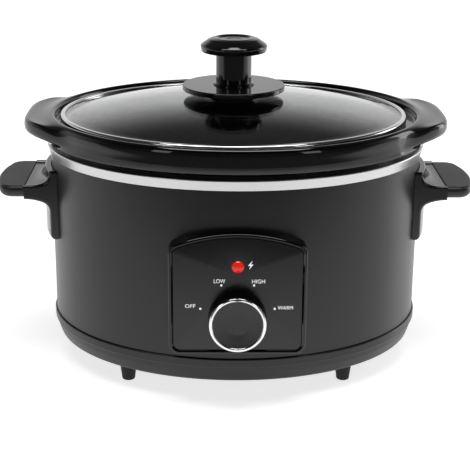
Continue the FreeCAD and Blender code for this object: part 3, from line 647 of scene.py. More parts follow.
@dataclass
class BaseUnit:
    """Painted shell, brushed band, liner, base ring, tray and feet."""

    sheet: float = 1.0
    lip: float = 0.9
    ring: Extent = field(default_factory=lambda: Extent.of("base_ring"))
    tray: Extent = field(default_factory=lambda: Extent.of("base_tray"))
    band: Extent = field(default_factory=lambda: Extent.of("trim_band"))
    liner: Extent = field(default_factory=lambda: Extent.of("heating_liner"))
    band_flange: float = 7.5
    liner_inset_bottom: float = 22.0
    liner_inset_top: float = 10.0
    floor_reach: float = 60.0
    tray_wall: float = 2.4
    tray_shoulder: float = 8.0
    vent_columns: int = 7
    vent_rows: int = 2
    vent_pitch: float = 9.0
    vent_row_gap: float = 84.0
    vent_size: tuple[float, float, float] = (3.0, 32.0, 6.0)
    steps_round: int = 256

    def build(self) -> None:
        """Make every piece of the base unit."""
        self.shell()
        self.trim()
        self.pot()
        self.base_ring()
        self.base_tray()
        self.feet()

    def shell(self) -> None:
        """Wrapped steel wall with both edges turned in."""
        low, high = SHELL.low.z, SHELL.high.z
        wall = [(0.0, low, 0.5), (0.0, high, 0.5), (-self.sheet, high, 0.3), (-self.sheet, low, 0.3)]
        piece = swept("shell_wall", BODY, wall, closed=True, count=self.steps_round)
        dress(piece, Bodies.BASE, "painted_shell", "outer_shell")

    def trim(self) -> None:
        """Brushed band, a little flared, with a rolled top edge."""
        low, high = self.band.low.z, self.band.high.z
        flare = self.band.half.x - BODY_LENGTH
        profile = [(0.5, low, 0.25), (flare, high - 0.9, 0.8), (flare - 1.6, high, 0.5),
                   (-self.band_flange, high, 0.4), (-self.band_flange, high - 1.2, 0.4),
                   (flare - 1.6, high - 1.2, 0.5), (-0.5, low, 0.2)]
        piece = swept("brushed_trim_band", BODY, profile, closed=True, count=self.steps_round)
        dress(piece, Bodies.BASE, "brushed_band", "trim_band")

    def pot(self) -> None:
        """Pressed pot that the crock drops into, hung by its flange."""
        low, high = self.liner.low.z, self.liner.high.z
        bottom, top = -self.liner_inset_bottom, -self.liner_inset_top
        middle = bottom - self.floor_reach
        profile = [(middle, low, 0.0), (bottom, low, 7.0), (top, high - self.sheet, 2.0),
                   (0.0, high - self.sheet, 0.3), (0.0, high, 0.4), (top - self.lip, high, 2.6),
                   (bottom - self.lip, low + self.sheet, 6.0), (middle, low + self.sheet, 0.0)]
        dress(swept("pressed_liner", BODY, profile), Bodies.BASE, "liner_metal", "heating_liner")

    def base_ring(self) -> None:
        """Moulded ring under the shell, with softened edges."""
        low, high = self.ring.low.z, self.ring.high.z
        proud = self.ring.half.x - BODY_LENGTH
        profile = [(proud, low, 0.9), (proud, high, 0.9), (-4.0, high, 0.3), (-4.0, low, 0.3)]
        piece = swept("moulded_base_ring", BODY, profile, closed=True, count=self.steps_round)
        dress(piece, Bodies.BASE, "base_moulding", "base_ring")

    def vents(self) -> bpy.types.Object:
        """Cutter for the rows of vent slots.

        Returns:
            One mesh object with a closed box for each slot.
        """
        repeat = RepeatTree("Vent slots")
        tree = repeat.tree
        columns = float(self.vent_columns)
        sizes = repeat.inputs(pitch=self.vent_pitch * MM, row_gap=self.vent_row_gap * MM,
                              floor=self.tray.low.z * MM, centre=OVAL_CENTRE_Y * MM)
        index = add(tree, "GeometryNodeInputIndex").outputs[0]
        column = add(tree, "ShaderNodeMath", {0: index, 1: columns}, operation="MODULO").outputs[0]
        across = {0: column, 1: (columns - 1) / 2}
        from_middle = add(tree, "ShaderNodeMath", across, operation="SUBTRACT").outputs[0]
        x = add(tree, "ShaderNodeMath", {0: from_middle, 1: sizes["pitch"]}, operation="MULTIPLY").outputs[0]
        part_row = add(tree, "ShaderNodeMath", {0: index, 1: columns}, operation="DIVIDE").outputs[0]
        row = add(tree, "ShaderNodeMath", {0: part_row}, operation="FLOOR").outputs[0]
        back = {0: row, 1: (self.vent_rows - 1) / 2}
        from_centre = add(tree, "ShaderNodeMath", back, operation="SUBTRACT").outputs[0]
        depth = {0: from_centre, 1: sizes["row_gap"], 2: sizes["centre"]}
        y = add(tree, "ShaderNodeMath", depth, operation="MULTIPLY_ADD").outputs[0]
        box = {"Size": [side * MM for side in self.vent_size]}
        slot = add(tree, "GeometryNodeMeshCube", box).outputs["Mesh"]
        places = {"X": x, "Y": y, "Z": sizes["floor"]}
        repeat.scatter(self.vent_rows * self.vent_columns, places, slot, BASE_PLASTIC.material())
        return repeat.grow("vent_cutter")

    def base_tray(self) -> None:
        """Tray that closes the bottom, rounded under into a flat vented floor."""
        low, high = self.tray.low.z, self.tray.high.z
        wall, shoulder = self.tray_wall, low + self.tray_shoulder
        profile = [(-self.floor_reach, low, 0.0), (-3.2, low, 3.6), (-0.6, shoulder, 6.0), (0.2, high, 0.3),
                   (-wall, high, 0.3), (-0.6 - wall, shoulder, 4.0), (-3.2 - wall, low + wall, 2.0),
                   (-self.floor_reach, low + wall, 0.0)]
        tray = swept("moulded_base_tray", BODY, profile, count=self.steps_round)
        dress(carve(tray, [self.vents()]), Bodies.BASE, "base_moulding", "base_tray")

    def feet(self) -> None:
        """Four turned rubber feet with a dished sole."""
        for end in ("front", "rear"):
            for side in ("left", "right"):
                node = f"foot_{end}_{side}"
                foot = Extent.of(node)
                radius, top = foot.half.x, self.tray.low.z
                profile = [(0.0, 0.6, 0.0), (2.6, 0.6, 0.6), (3.2, 0.0, 0.3), (4.7, 0.0, 1.0),
                           (radius, top, 0.3), (3.0, top, 0.0), (3.0, top + 2.4, 0.0), (4.0, top + 2.4, 0.4),
                           (3.0, foot.high.z, 0.6), (0.0, foot.high.z, 0.0)]
                piece = swept(f"rubber_{node}", Round(foot.centre.x, foot.centre.y), profile, count=64)
                dress(piece, Bodies.BASE, "foot_rubber", node)


# ---- Handles ----

class Side(Enum):
    """The side of the cooker that a handle is on, as the sign of its X."""

    LEFT = -1
    RIGHT = 1


def eased(value: float, start: float, end: float) -> float:
    """A smooth step from 0 at start to 1 at end."""
    share = min(max((value - start) / (end - start), 0.0), 1.0)
    return share * share * (3 - 2 * share)


@dataclass
class Handle:
    """One side handle: a moulding that follows the shell and a textured cap on its end."""

    side: Side
    edge: float = 1.3
    dish_depth: float = 1.4
    dish_margin: float = 3.0
    plate: float = 5.5
    fillet_under: float = 12.0
    fillet_over: float = 9.5
    bow_radius: float = 112.0
    corner_radius: float = 11.0
    grip_lower_edge: float = 5.4
    grip_upper_edge: float = 3.0
    dish_stations: tuple[float, ...] = (27.0, 20.0, 13.0, 6.5, 0.0)
    bow_stations: tuple[float, ...] = (-20.0, -13.0, -6.5, 0.0, 6.5, 13.0, 20.0)

    @property
    def word(self) -> str:
        """The side's name as it stands in node names."""
        return self.side.name.lower()

    def build(self) -> None:
        """Make the moulding and its cap."""
        self.moulding = Extent.of(f"handle_{self.word}")
        self.cap = Extent.of(f"grip_{self.word}")
        self.half_depth = self.moulding.half.y
        self.joint_x = min(abs(self.cap.low.x), abs(self.cap.high.x))
        self.arm_bottom = self.cap.low.z - 1.0
        self.arm_top = self.cap.high.z + 0.4
        self.arm()
        self.grip()

    def outline(self, inset: float, dish: float) -> list[Vector]:
        """Section of the moulding in level distance and height.

        Args:
            inset: How far the section is drawn in, for the rounded ends.
            dish: From 0 at the rim to 1 in the dish on top of the arm.

        Returns:
            The section's points, the same number for any inset.
        """
        back, face = BODY_LENGTH + 0.05, BODY_LENGTH + self.plate
        low, high = self.moulding.low.z, self.moulding.high.z
        sink = self.dish_depth * dish
        arm_low, arm_high = self.arm_bottom + inset, self.arm_top - inset - sink
        upper_face = face - inset - 0.5 * sink
        corners = [
            (back, low + inset, 1.2), (face - inset, low + inset, 3.4),
            (face - inset, arm_low, self.fillet_under), (self.joint_x, arm_low, 0.0),
            (self.joint_x, arm_high, 0.0), (upper_face, arm_high, self.fillet_over),
            (upper_face, high - inset, 1.6), (back, high - inset, 0.8)]
        return rounded(corners, closed=True, steps=8)

    def bent(self, point: Vector, y: float) -> Vector:
        """Move a section point so that the plate follows the shell while the arm's end stays straight.

        Args:
            point: The point's distance outwards and its height.
            y: How far along the handle from its middle.

        Returns:
            The point in space.
        """
        hollow = BODY_LENGTH * (1 - math.sqrt(1 - (y / BODY_DEPTH) ** 2))
        share = 1 - eased(point.x, BODY_LENGTH + self.plate + 1.0, self.joint_x - 1.0)
        return Vector((self.side.value * (point.x - hollow * share), OVAL_CENTRE_Y + y, point.y))

    def stations(self) -> list[tuple[float, float, float]]:
        """Where the handle's sections are.

        Returns:
            For each section, its distance along Y, its inset and its dish.
        """
        end, edge, margin = self.half_depth, self.edge, self.dish_margin
        near = [(end, edge + 0.4, 0.0), (end, edge, 0.0)]
        round_steps = 5
        near += [(end - edge * (1 - math.cos(turn)), edge * (1 - math.sin(turn)), 0.0)
                 for turn in [math.pi / 2 * k / round_steps for k in range(1, round_steps + 1)]]
        near += [(end - margin + 0.3, 0.0, 0.0), (end - margin, 0.0, 0.1), (end - margin - 0.5, 0.0, 0.75),
                 (end - margin - 1.1, 0.0, 0.97), (end - margin - 2.0, 0.0, 1.0)]
        half = near + [(y, 0.0, 1.0) for y in self.dish_stations]
        return [(-y, inset, dish) for y, inset, dish in half] + half[-2::-1]

    def arm(self) -> None:
        """The moulding: plate, arm, curved underside and dished top."""
        rings = [[self.bent(point, y) for point in self.outline(inset, dish)]
                 for y, inset, dish in self.stations()]
        name = f"handle_moulding_{self.word}"
        shape = bmesh.new()
        rows = join_rings(shape, rings)
        for row in (rows[0], rows[-1]):
            shape.faces.new(row)
        bmesh.ops.triangulate(shape, faces=[face for face in shape.faces if len(face.verts) > 4])
        piece = make_object(name, close_mesh(shape, name, 50.0))
        dress(piece, Bodies.BASE, "handle_moulding", f"handle_{self.word}")

    def plan(self, inset: float) -> list[Vector]:
        """Level outline of the cap.

        Args:
            inset: How far it is drawn in on its free sides.

        Returns:
            The outline's points, with X outwards from the cooker's middle.
        """
        reach = max(abs(self.cap.low.x), abs(self.cap.high.x))
        bow_centre = reach - self.bow_radius
        bow, width = self.bow_radius - inset, self.half_depth - inset

        def bow_x(y: float) -> float:
            """How far out the bowed side is at a Y."""
            return bow_centre + math.sqrt(bow * bow - y * y)

        bowed = [(bow_x(y), y, 0.0) for y in self.bow_stations]
        corner, joint = self.corner_radius - inset, self.joint_x + 0.1
        corners = [(joint, -width, 0.0), (bow_x(width), -width, corner), *bowed,
                   (bow_x(width), width, corner), (joint, width, 0.0)]
        return rounded(corners, closed=True, steps=10)

    def grip(self) -> None:
        """The cap: a soft-edged block, bowed at the outer side."""
        low, high = self.cap.low.z, self.cap.high.z
        lower, upper = self.grip_lower_edge, self.grip_upper_edge
        steps = 7
        quarter = [math.pi / 2 * k / steps for k in range(steps + 1)]
        levels = [(lower * (1 - math.sin(turn)), low + lower * (1 - math.cos(turn))) for turn in quarter]
        levels += [(upper * (1 - math.cos(turn)), high - upper * (1 - math.sin(turn))) for turn in quarter]
        levels = [(lower + 0.6, low), *levels, (upper + 0.6, high)]
        rings = [[Vector((self.side.value * point.x, OVAL_CENTRE_Y + point.y, height))
                  for point in self.plan(inset)] for inset, height in levels]
        dress(skin(f"grip_cap_{self.word}", rings), Bodies.BASE, "grip_moulding", f"grip_{self.word}")


# ---- Control panel ----

def level(y: float) -> Callable[[float], float]:
    """A depth that is the same at every X."""
    return lambda x: y


@dataclass
class Panel:
    """Arched frame, matt plate, printed legends and the red indicator."""

    arch_radius: float = 126.0
    corner: float = 8.0
    corner_steps: int = 10
    arch_steps: int = 32
    frame_width: float = 3.2
    bush_hole: float = 4.6
    lens_hole: float = 3.6
    dial_radius: float = 26.8
    dot_radius: float = 0.8
    dot_step_deg: float = 50.0
    ink: float = 0.04
    legends: tuple[tuple[str, float, float, float, float], ...] = (
        ("LOW", -12.6, 94.1, 7.9, 2.9), ("HIGH", 14.4, 93.9, 9.0, 2.9),
        ("OFF", -32.9, 75.6, 7.2, 2.7), ("WARM", 33.3, 74.4, 10.6, 2.7))
    dot_count: int = 4
    dots_z: float = 66.7
    bolt_at: tuple[float, float] = (8.9, 105.9)

    def build(self) -> None:
        """Make every piece of the panel."""
        self.bezel = Extent.of("panel_bezel")
        self.plate = Extent.of("panel_face")
        self.lens = Extent.of("indicator_lens")
        self.face_y = self.plate.low.y
        self.frame()
        self.face()
        self.printing()
        self.indicator()

    def outline(self, inset: float, depth: Callable[[float], float]) -> Ring:
        """The arched outline drawn in by a distance.

        Args:
            inset: How far inside the frame's outer edge.
            depth: The Y for each X, so that the back can follow the shell.

        Returns:
            One ring of points.
        """
        width, low = self.bezel.half.x - inset, self.bezel.low.z + inset
        arch, corner = self.arch_radius - inset, max(self.corner - inset, 0.3)
        arch_z = self.bezel.high.z - self.arch_radius
        hub_x = width - corner
        hub_z = arch_z + math.sqrt((arch - corner) ** 2 - hub_x ** 2)
        lean = math.atan2(hub_z - arch_z, hub_x)
        flat = []
        steps = self.corner_steps
        for k in range(steps + 1):
            turn = lean * k / steps
            flat.append((hub_x + corner * math.cos(turn), hub_z + corner * math.sin(turn)))
        for k in range(1, self.arch_steps):
            turn = lean + (math.pi - 2 * lean) * k / self.arch_steps
            flat.append((arch * math.cos(turn), arch_z + arch * math.sin(turn)))
        flat += [(-x, z) for x, z in reversed(flat[:steps + 1])]
        for start, sign in ((math.pi, -1), (1.5 * math.pi, 1)):
            for k in range(steps + 1):
                turn = start + math.pi / 2 * k / steps
                flat.append((sign * hub_x + corner * math.cos(turn), low + corner + corner * math.sin(turn)))
        return [Vector((x, depth(x), z)) for x, z in flat]

    def frame(self) -> None:
        """Glossy frame: deep outer wall, rounded front edge and a bevel that falls to the plate."""
        front = self.bezel.low.y

        def shell_line(x: float) -> float:
            """How far back the shell's face is at an X."""
            return OVAL_CENTRE_Y - BODY_DEPTH * math.sqrt(1 - (x / BODY_LENGTH) ** 2) - 0.05

        width, wall_start = self.frame_width, 8.0
        profile = rounded([(0.0, wall_start, 0.0), (0.0, 0.0, 1.5), (1.9, 0.0, 0.5),
                           (width - 0.15, 1.2, 0.4), (width, 3.4, 0.0)], closed=False)
        # The profile's first point only gives the outer wall its direction.
        rings = [self.outline(0.0, shell_line)]
        rings += [self.outline(point.x, level(front + point.y)) for point in profile[1:]]
        rings.append(self.outline(self.frame_width, shell_line))
        dress(skin("gloss_panel_frame", rings, closed=True), Bodies.BASE, "panel_gloss", "panel_bezel")

    def face(self) -> None:
        """Matt plate with its two holes."""
        front, back = self.plate.low.y, self.plate.high.y
        inset = self.frame_width + 0.05
        steps = [(inset + 0.4, front), (inset + 0.15, front + 0.05), (inset, front + 0.3), (inset, back)]
        plate = skin("matt_panel_plate", [self.outline(in_by, level(y)) for in_by, y in steps])
        wanted = (("bush_hole", self.bush_hole, Extent.of("dial_knob").centre.z),
                  ("lens_hole", self.lens_hole, self.lens.centre.z))
        holes = []
        for name, radius, height in wanted:
            profile = [(0.0, -6.0, 0.0), (radius, -6.0, 0.0), (radius, 4.0, 0.0), (0.0, 4.0, 0.0)]
            holes.append(swept(name, Round(), profile, count=48, placing=facing_front(0.0, front, height)))
        dress(carve(plate, holes), Bodies.BASE, "panel_matt", "panel_face")

    def word(self, text: str, x: float, z: float, width: float, height: float) -> bpy.types.Mesh:
        """One printed word as a thin mesh on the plate.

        Args:
            text: The word.
            x: The middle of the word, to the right of the panel's middle.
            z: The height of its middle.
            width: Its width.
            height: The height of its letters.

        Returns:
            The word's mesh, in metres.
        """
        curve = bpy.data.curves.new(text, "FONT")
        curve.body = text
        curve.extrude = 0.5
        carrier = make_object(text, curve)
        mesh = evaluated_mesh(carrier)
        bpy.data.objects.remove(carrier)
        across = [vertex.co.x for vertex in mesh.vertices]
        upward = [vertex.co.y for vertex in mesh.vertices]
        middle = Vector(((min(across) + max(across)) / 2, (min(upward) + max(upward)) / 2, 0))
        stretch_x = width / (max(across) - min(across))
        stretch_z = height / (max(upward) - min(upward))
        fit = Matrix.Diagonal((stretch_x, stretch_z, self.ink, 1.0)) @ Matrix.Translation(-middle)
        mesh.transform(Matrix.Scale(MM, 4) @ facing_front(x, self.face_y, z) @ fit)
        return mesh

    def bolt(self) -> bpy.types.Mesh:
        """A plain lightning-bolt mark.

        Returns:
            Its mesh, in metres, on the plate.
        """
        zigzag = [(1.2, 3.3), (-1.9, -0.5), (-0.1, -0.5), (-1.2, -3.3), (1.9, 0.5), (0.1, 0.5)]
        shape = bmesh.new()
        front = [shape.verts.new((x, z, self.ink)) for x, z in zigzag]
        back = [shape.verts.new((x, z, -self.ink)) for x, z in zigzag]
        shape.faces.new(front)
        shape.faces.new(back[::-1])
        for i in range(len(zigzag)):
            k = (i + 1) % len(zigzag)
            shape.faces.new((front[i], back[i], back[k], front[k]))
        bmesh.ops.triangulate(shape, faces=[face for face in shape.faces if len(face.verts) > 4])
        x, z = self.bolt_at
        shape.transform(Matrix.Scale(MM, 4) @ facing_front(x, self.face_y, z))
        return close_mesh(shape, "bolt")

    def dots(self) -> bpy.types.Object:
        """The heat-setting dots, evenly spaced on an arc about the dial.

        Returns:
            One mesh object with a thin disc for each dot.
        """
        repeat = RepeatTree("Setting dots")
        tree = repeat.tree
        sizes = repeat.inputs(ring=self.dial_radius * MM, step=math.radians(self.dot_step_deg),
                              depth=self.face_y * MM, height=self.dots_z * MM)
        index = add(tree, "GeometryNodeInputIndex").outputs[0]
        place = {0: index, 1: (self.dot_count - 1) / 2}
        from_middle = add(tree, "ShaderNodeMath", place, operation="SUBTRACT").outputs[0]
        lean = {0: from_middle, 1: sizes["step"]}
        angle = add(tree, "ShaderNodeMath", lean, operation="MULTIPLY").outputs[0]
        sine = add(tree, "ShaderNodeMath", {0: angle}, operation="SINE").outputs[0]
        cosine = add(tree, "ShaderNodeMath", {0: angle}, operation="COSINE").outputs[0]
        x = add(tree, "ShaderNodeMath", {0: sine, 1: sizes["ring"]}, operation="MULTIPLY").outputs[0]
        upwards = {0: cosine, 1: sizes["ring"], 2: sizes["height"]}
        z = add(tree, "ShaderNodeMath", upwards, operation="MULTIPLY_ADD").outputs[0]
        dot = {"Vertices": 24, "Radius": self.dot_radius * MM, "Depth": 2 * self.ink * MM}
        disc = add(tree, "GeometryNodeMeshCylinder", dot).outputs["Mesh"]
        upright = {"Geometry": disc, "Rotation": (math.pi / 2, 0.0, 0.0)}
        turned = add(tree, "GeometryNodeTransform", upright).outputs[0]
        places = {"X": x, "Y": sizes["depth"], "Z": z}
        repeat.scatter(self.dot_count, places, turned, PRINT_INK_PAINTED_GLOW.material())
        return repeat.grow("printed_setting_dots")

    def printing(self) -> None:
        """Heat-setting words, dots and the bolt mark."""
        shape = bmesh.new()
        for mesh in [self.word(*legend) for legend in self.legends] + [self.bolt()]:
            shape.from_mesh(mesh)
            bpy.data.meshes.remove(mesh)
        words = make_object("printed_legends", close_mesh(shape, "printed_legends"))
        # The ink finish of the words, the bolt and the dots carries a faint painted glow.
        dress(words, Bodies.BASE, "panel_matt", finish=PRINT_INK_PAINTED_GLOW)
        dress(self.dots(), Bodies.BASE, "panel_matt", finish=PRINT_INK_PAINTED_GLOW)

    def indicator(self) -> None:
        """Domed red lens with a stepped back."""
        radius = self.lens.half.x
        profile = [(0.0, -5.0, 0.0), (radius - 0.9, -5.0, 0.4), (radius - 0.9, 0.0, 0.0), (radius, 0.0, 0.2),
                   (radius, 0.7, 0.5), (3.6, 1.7, 1.2), (1.8, 2.35, 2.0), (0.0, 2.5, 0.0)]
        place = facing_front(0.0, self.face_y, self.lens.centre.z)
        piece = swept("red_indicator_lens", Round(), profile, count=64, placing=place)
        dress(piece, Bodies.BASE, "lens_red", "indicator_lens")


# ---- Dial ----

@dataclass
class Dial:
    """Skirted body, bright ring, dished cap and pointer window of the heat selector."""

    ring_inner: float = 17.4
    ring_seat: float = 2.0
    cap_seat: float = 3.2
    shaft: float = 3.0

    def build(self) -> None:
        """Make every piece of the dial."""
        knob = Extent.of("dial_knob")
        self.centre_z = knob.centre.z
        self.face_y = Extent.of("panel_face").low.y
        self.radius = knob.half.x
        self.height = self.face_y - Extent.of("dial_ring").low.y
        self.place = facing_front(0.0, self.face_y, self.centre_z)
        self.body()
        self.ring()
        self.cap()
        self.pointer()

    def body(self) -> None:
        """Hollow skirt with a boss for the shaft."""
        radius, inner = self.radius, self.ring_inner
        ring_seat, cap_seat = self.height - self.ring_seat, self.height - self.cap_seat
        profile = [(radius - 2, 0.5, 0.3), (radius, 0.5, 0.6), (radius - 0.8, ring_seat, 0.3),
                   (inner, ring_seat, 0.0), (inner, cap_seat, 0.0), (self.shaft, cap_seat, 0.0),
                   (self.shaft, 2.6, 0.2), (6.0, 2.6, 0.5), (6.0, 8.0, 0.5), (radius - 2.4, 8.0, 1.0)]
        piece = swept("dial_skirt", Round(), profile, closed=True, count=128, placing=self.place)
        dress(piece, Bodies.DIAL, "dial_moulding", "dial_knob", finish=GLOSS_ABS)

    def ring(self) -> None:
        """Bright plated ring with a rounded front."""
        radius, height, inner = self.radius, self.height, self.ring_inner
        seat = height - self.ring_seat
        profile = [(inner, seat, 0.0), (radius - 0.8, seat, 0.2), (radius - 0.8, height - 0.5, 0.6),
                   (radius - 1.6, height, 0.5), (inner + 0.6, height, 0.5), (inner, height - 0.7, 0.3)]
        piece = swept("plated_dial_ring", Round(), profile, closed=True, count=160, placing=self.place)
        dress(piece, Bodies.DIAL, "dial_chrome", "dial_ring")

    def cap(self) -> None:
        """Dished black cap inside the ring."""
        height, edge = self.height, self.ring_inner
        seat = height - self.cap_seat
        profile = [(0.0, seat, 0.0), (edge, seat, 0.0), (edge, height - 0.9, 0.3), (15.0, height - 1.2, 4.0),
                   (8.0, height - 1.95, 8.0), (0.0, height - 2.1, 0.0)]
        piece = swept("dished_dial_cap", Round(), profile, count=128, placing=self.place)
        dress(piece, Bodies.DIAL, "dial_moulding", "dial_cap")

    def pointer(self) -> None:
        """Black lens-shaped window let into the top of the ring."""
        window = Extent.of("dial_pointer")
        half_width, half_height = window.half.x, window.half.z
        arc = (half_width ** 2 + half_height ** 2) / (2 * half_height)
        steps = 16
        flat = []
        for sign in (1, -1):
            for k in range(steps):
                x = sign * half_width * (1 - 2 * k / steps)
                flat.append((x, sign * (math.sqrt(arc ** 2 - x ** 2) - arc + half_height)))
        front = window.low.y
        levels = ((0.85, front), (0.97, front + 0.1), (1.0, front + 0.3), (1.0, window.high.y))
        rings = [[Vector((x * share, y, window.centre.z + z * share)) for x, z in flat]
                 for share, y in levels]
        dress(skin("pointer_window", rings), Bodies.DIAL, "dial_moulding", "dial_pointer")


# ---- Crock ----

@dataclass(frozen=True)
class RimRing:
    """One ring round the crock's rim, where it is along the sides and where it is on the ears."""

    out: float
    height: float
    share: float = 0.0
    ear_height: float | None = None
    end_growth: float = 0.0


@dataclass
class Crock:
    """Glazed stoneware pot with a ledge for the lid, a skirted rim and an ear at each end."""

    count: int = 96
    blend: float = 5.0
    rim_length: float = 143.0
    ear_depth_scale: float = 88.0
    ear_step: float = 14.0
    wall: float = 7.0
    foot_inset: float = 29.1
    floor_reach: float = 60.0
    ledge_edge: Oval = Oval(136.2, 113.4)
    ledge_wall: Oval = Oval(136.9, 114.0)

    def build(self) -> None:
        """Make the pot as one surface, from the middle of its floor round to the middle of its foot."""
        self.pot = Extent.of("crock")
        self.reach = self.pot.half.x
        self.rim_depth = self.pot.half.y
        self.top = self.pot.high.z
        self.floor = self.pot.low.z
        rings = self.inside() + [self.rim_ring(ring) for ring in self.rim_rings()] + self.outside()
        piece = subdivided(skin("glazed_crock", rings, crease_deg=180.0), 2)
        dress(piece, Bodies.CROCK, "glazed_stoneware", "crock")

    def oval_ring(self, inset: float, height: float, oval: Oval = BODY) -> Ring:
        """A level ring inside an oval."""
        return [Vector((*oval.point(turn, -inset), height)) for turn in turns_round(self.count)]

    def rim_ring(self, ring: RimRing) -> Ring:
        """A ring of the rim, run out towards the ears by its share.

        Args:
            ring: Where the ring is along the sides and on the ears.

        Returns:
            The ring's points.
        """
        points = []
        ear_height = ring.height if ring.ear_height is None else ring.ear_height
        for turn in turns_round(self.count):
            oval_x = self.rim_length * abs(math.cos(turn))
            y = self.rim_depth * math.sin(turn)
            ear_x = self.reach * (1 - (abs(y) / self.ear_depth_scale) ** 4)
            extra = self.blend * math.log(1 + math.exp((ear_x - oval_x) / self.blend))
            x = (self.rim_length + ring.out + ring.end_growth) * abs(math.cos(turn)) + ring.share * extra
            height = ring.height + (ear_height - ring.height) * eased(extra, 0.0, self.ear_step)
            depth = (self.rim_depth + ring.out) * math.sin(turn)
            points.append(Vector((math.copysign(x, math.cos(turn)), OVAL_CENTRE_Y + depth, height)))
        return points

    def rim_rings(self) -> list[RimRing]:
        """The rim, over the ridge, the ear and its lip, and under to the skirt's edge.

        Returns:
            The rings from the ledge's corner outwards and down.
        """
        top = self.top
        return [
            RimRing(-6.6, top - 3.0), RimRing(-5.9, top - 1.0),
            RimRing(-4.8, top - 0.15), RimRing(-3.4, top),
            RimRing(-2.0, top - 0.45, 0.08, top - 0.5), RimRing(-0.9, top - 1.6, 0.22, top - 1.2),
            RimRing(-0.3, top - 3.2, 0.42, top - 1.4), RimRing(-0.1, top - 4.9, 0.62, top - 1.1),
            RimRing(0.0, top - 6.4, 0.80, top - 0.7), RimRing(0.0, top - 7.8, 0.92, top - 1.1),
            RimRing(0.0, top - 9.0, 0.985, top - 2.6), RimRing(0.0, top - 10.2, 1.0, top - 5.0, 0.1),
            RimRing(0.0, top - 11.4, 0.99, top - 7.6, 0.3), RimRing(0.0, top - 12.4, 0.93, top - 9.9, 0.5),
            RimRing(-0.1, top - 13.4, 0.78, top - 11.6, 0.8),
            RimRing(-0.2, top - 14.4, 0.50, top - 12.8, 1.2),
            RimRing(-0.4, top - 15.4, 0.22, top - 14.2, 1.8),
            RimRing(-0.6, top - 16.4, 0.06, top - 16.0, 2.4),
            RimRing(-1.0, top - 17.2, end_growth=3.2), RimRing(-1.6, top - 17.6, end_growth=3.4),
            RimRing(-2.8, top - 17.6, end_growth=3.4), RimRing(-4.2, top - 17.2, end_growth=3.4),
            RimRing(-6.0, top - 15.5, end_growth=2.6),
        ]

    def inside(self) -> list[Ring]:
        """The inner wall.

        Returns:
            The rings from the middle of the floor up the wall and across the ledge.
        """
        floor = self.floor + self.wall + 1.5
        ledge = Extent.of("lid_rim").low.z - 0.3
        levels = [(self.floor_reach, floor), (22.0, floor), (10.0, floor + 0.4), (3.4, floor + 4.0),
                  (0.4, floor + 12.0), (-3.6, floor + 45.0), (-9.4, ledge - 22.0), (-11.6, ledge - 5.0),
                  (-12.2, ledge - 1.2), (-13.0, ledge - 0.1), (-15.5, ledge)]
        rings = [self.oval_ring(self.foot_inset + inset, height) for inset, height in levels]
        rings.append(self.oval_ring(0.0, ledge, self.ledge_edge))
        rings.append(self.oval_ring(0.0, ledge + 0.9, self.ledge_wall))
        return rings

    def outside(self) -> list[Ring]:
        """The outer wall.

        Returns:
            The rings from under the skirt down the wall to the middle of the foot.
        """
        floor, top = self.floor, self.top
        levels = [(13.0, top - 14.5), (13.6, top - 17.0), (14.2, top - 30.0), (18.2, floor + 55.0),
                  (22.6, floor + 14.0), (24.6, floor + 3.6), (27.6, floor + 0.5), (31.0, floor),
                  (80.0, floor)]
        return [self.oval_ring(inset, height) for inset, height in levels]


# ---- Lid ----

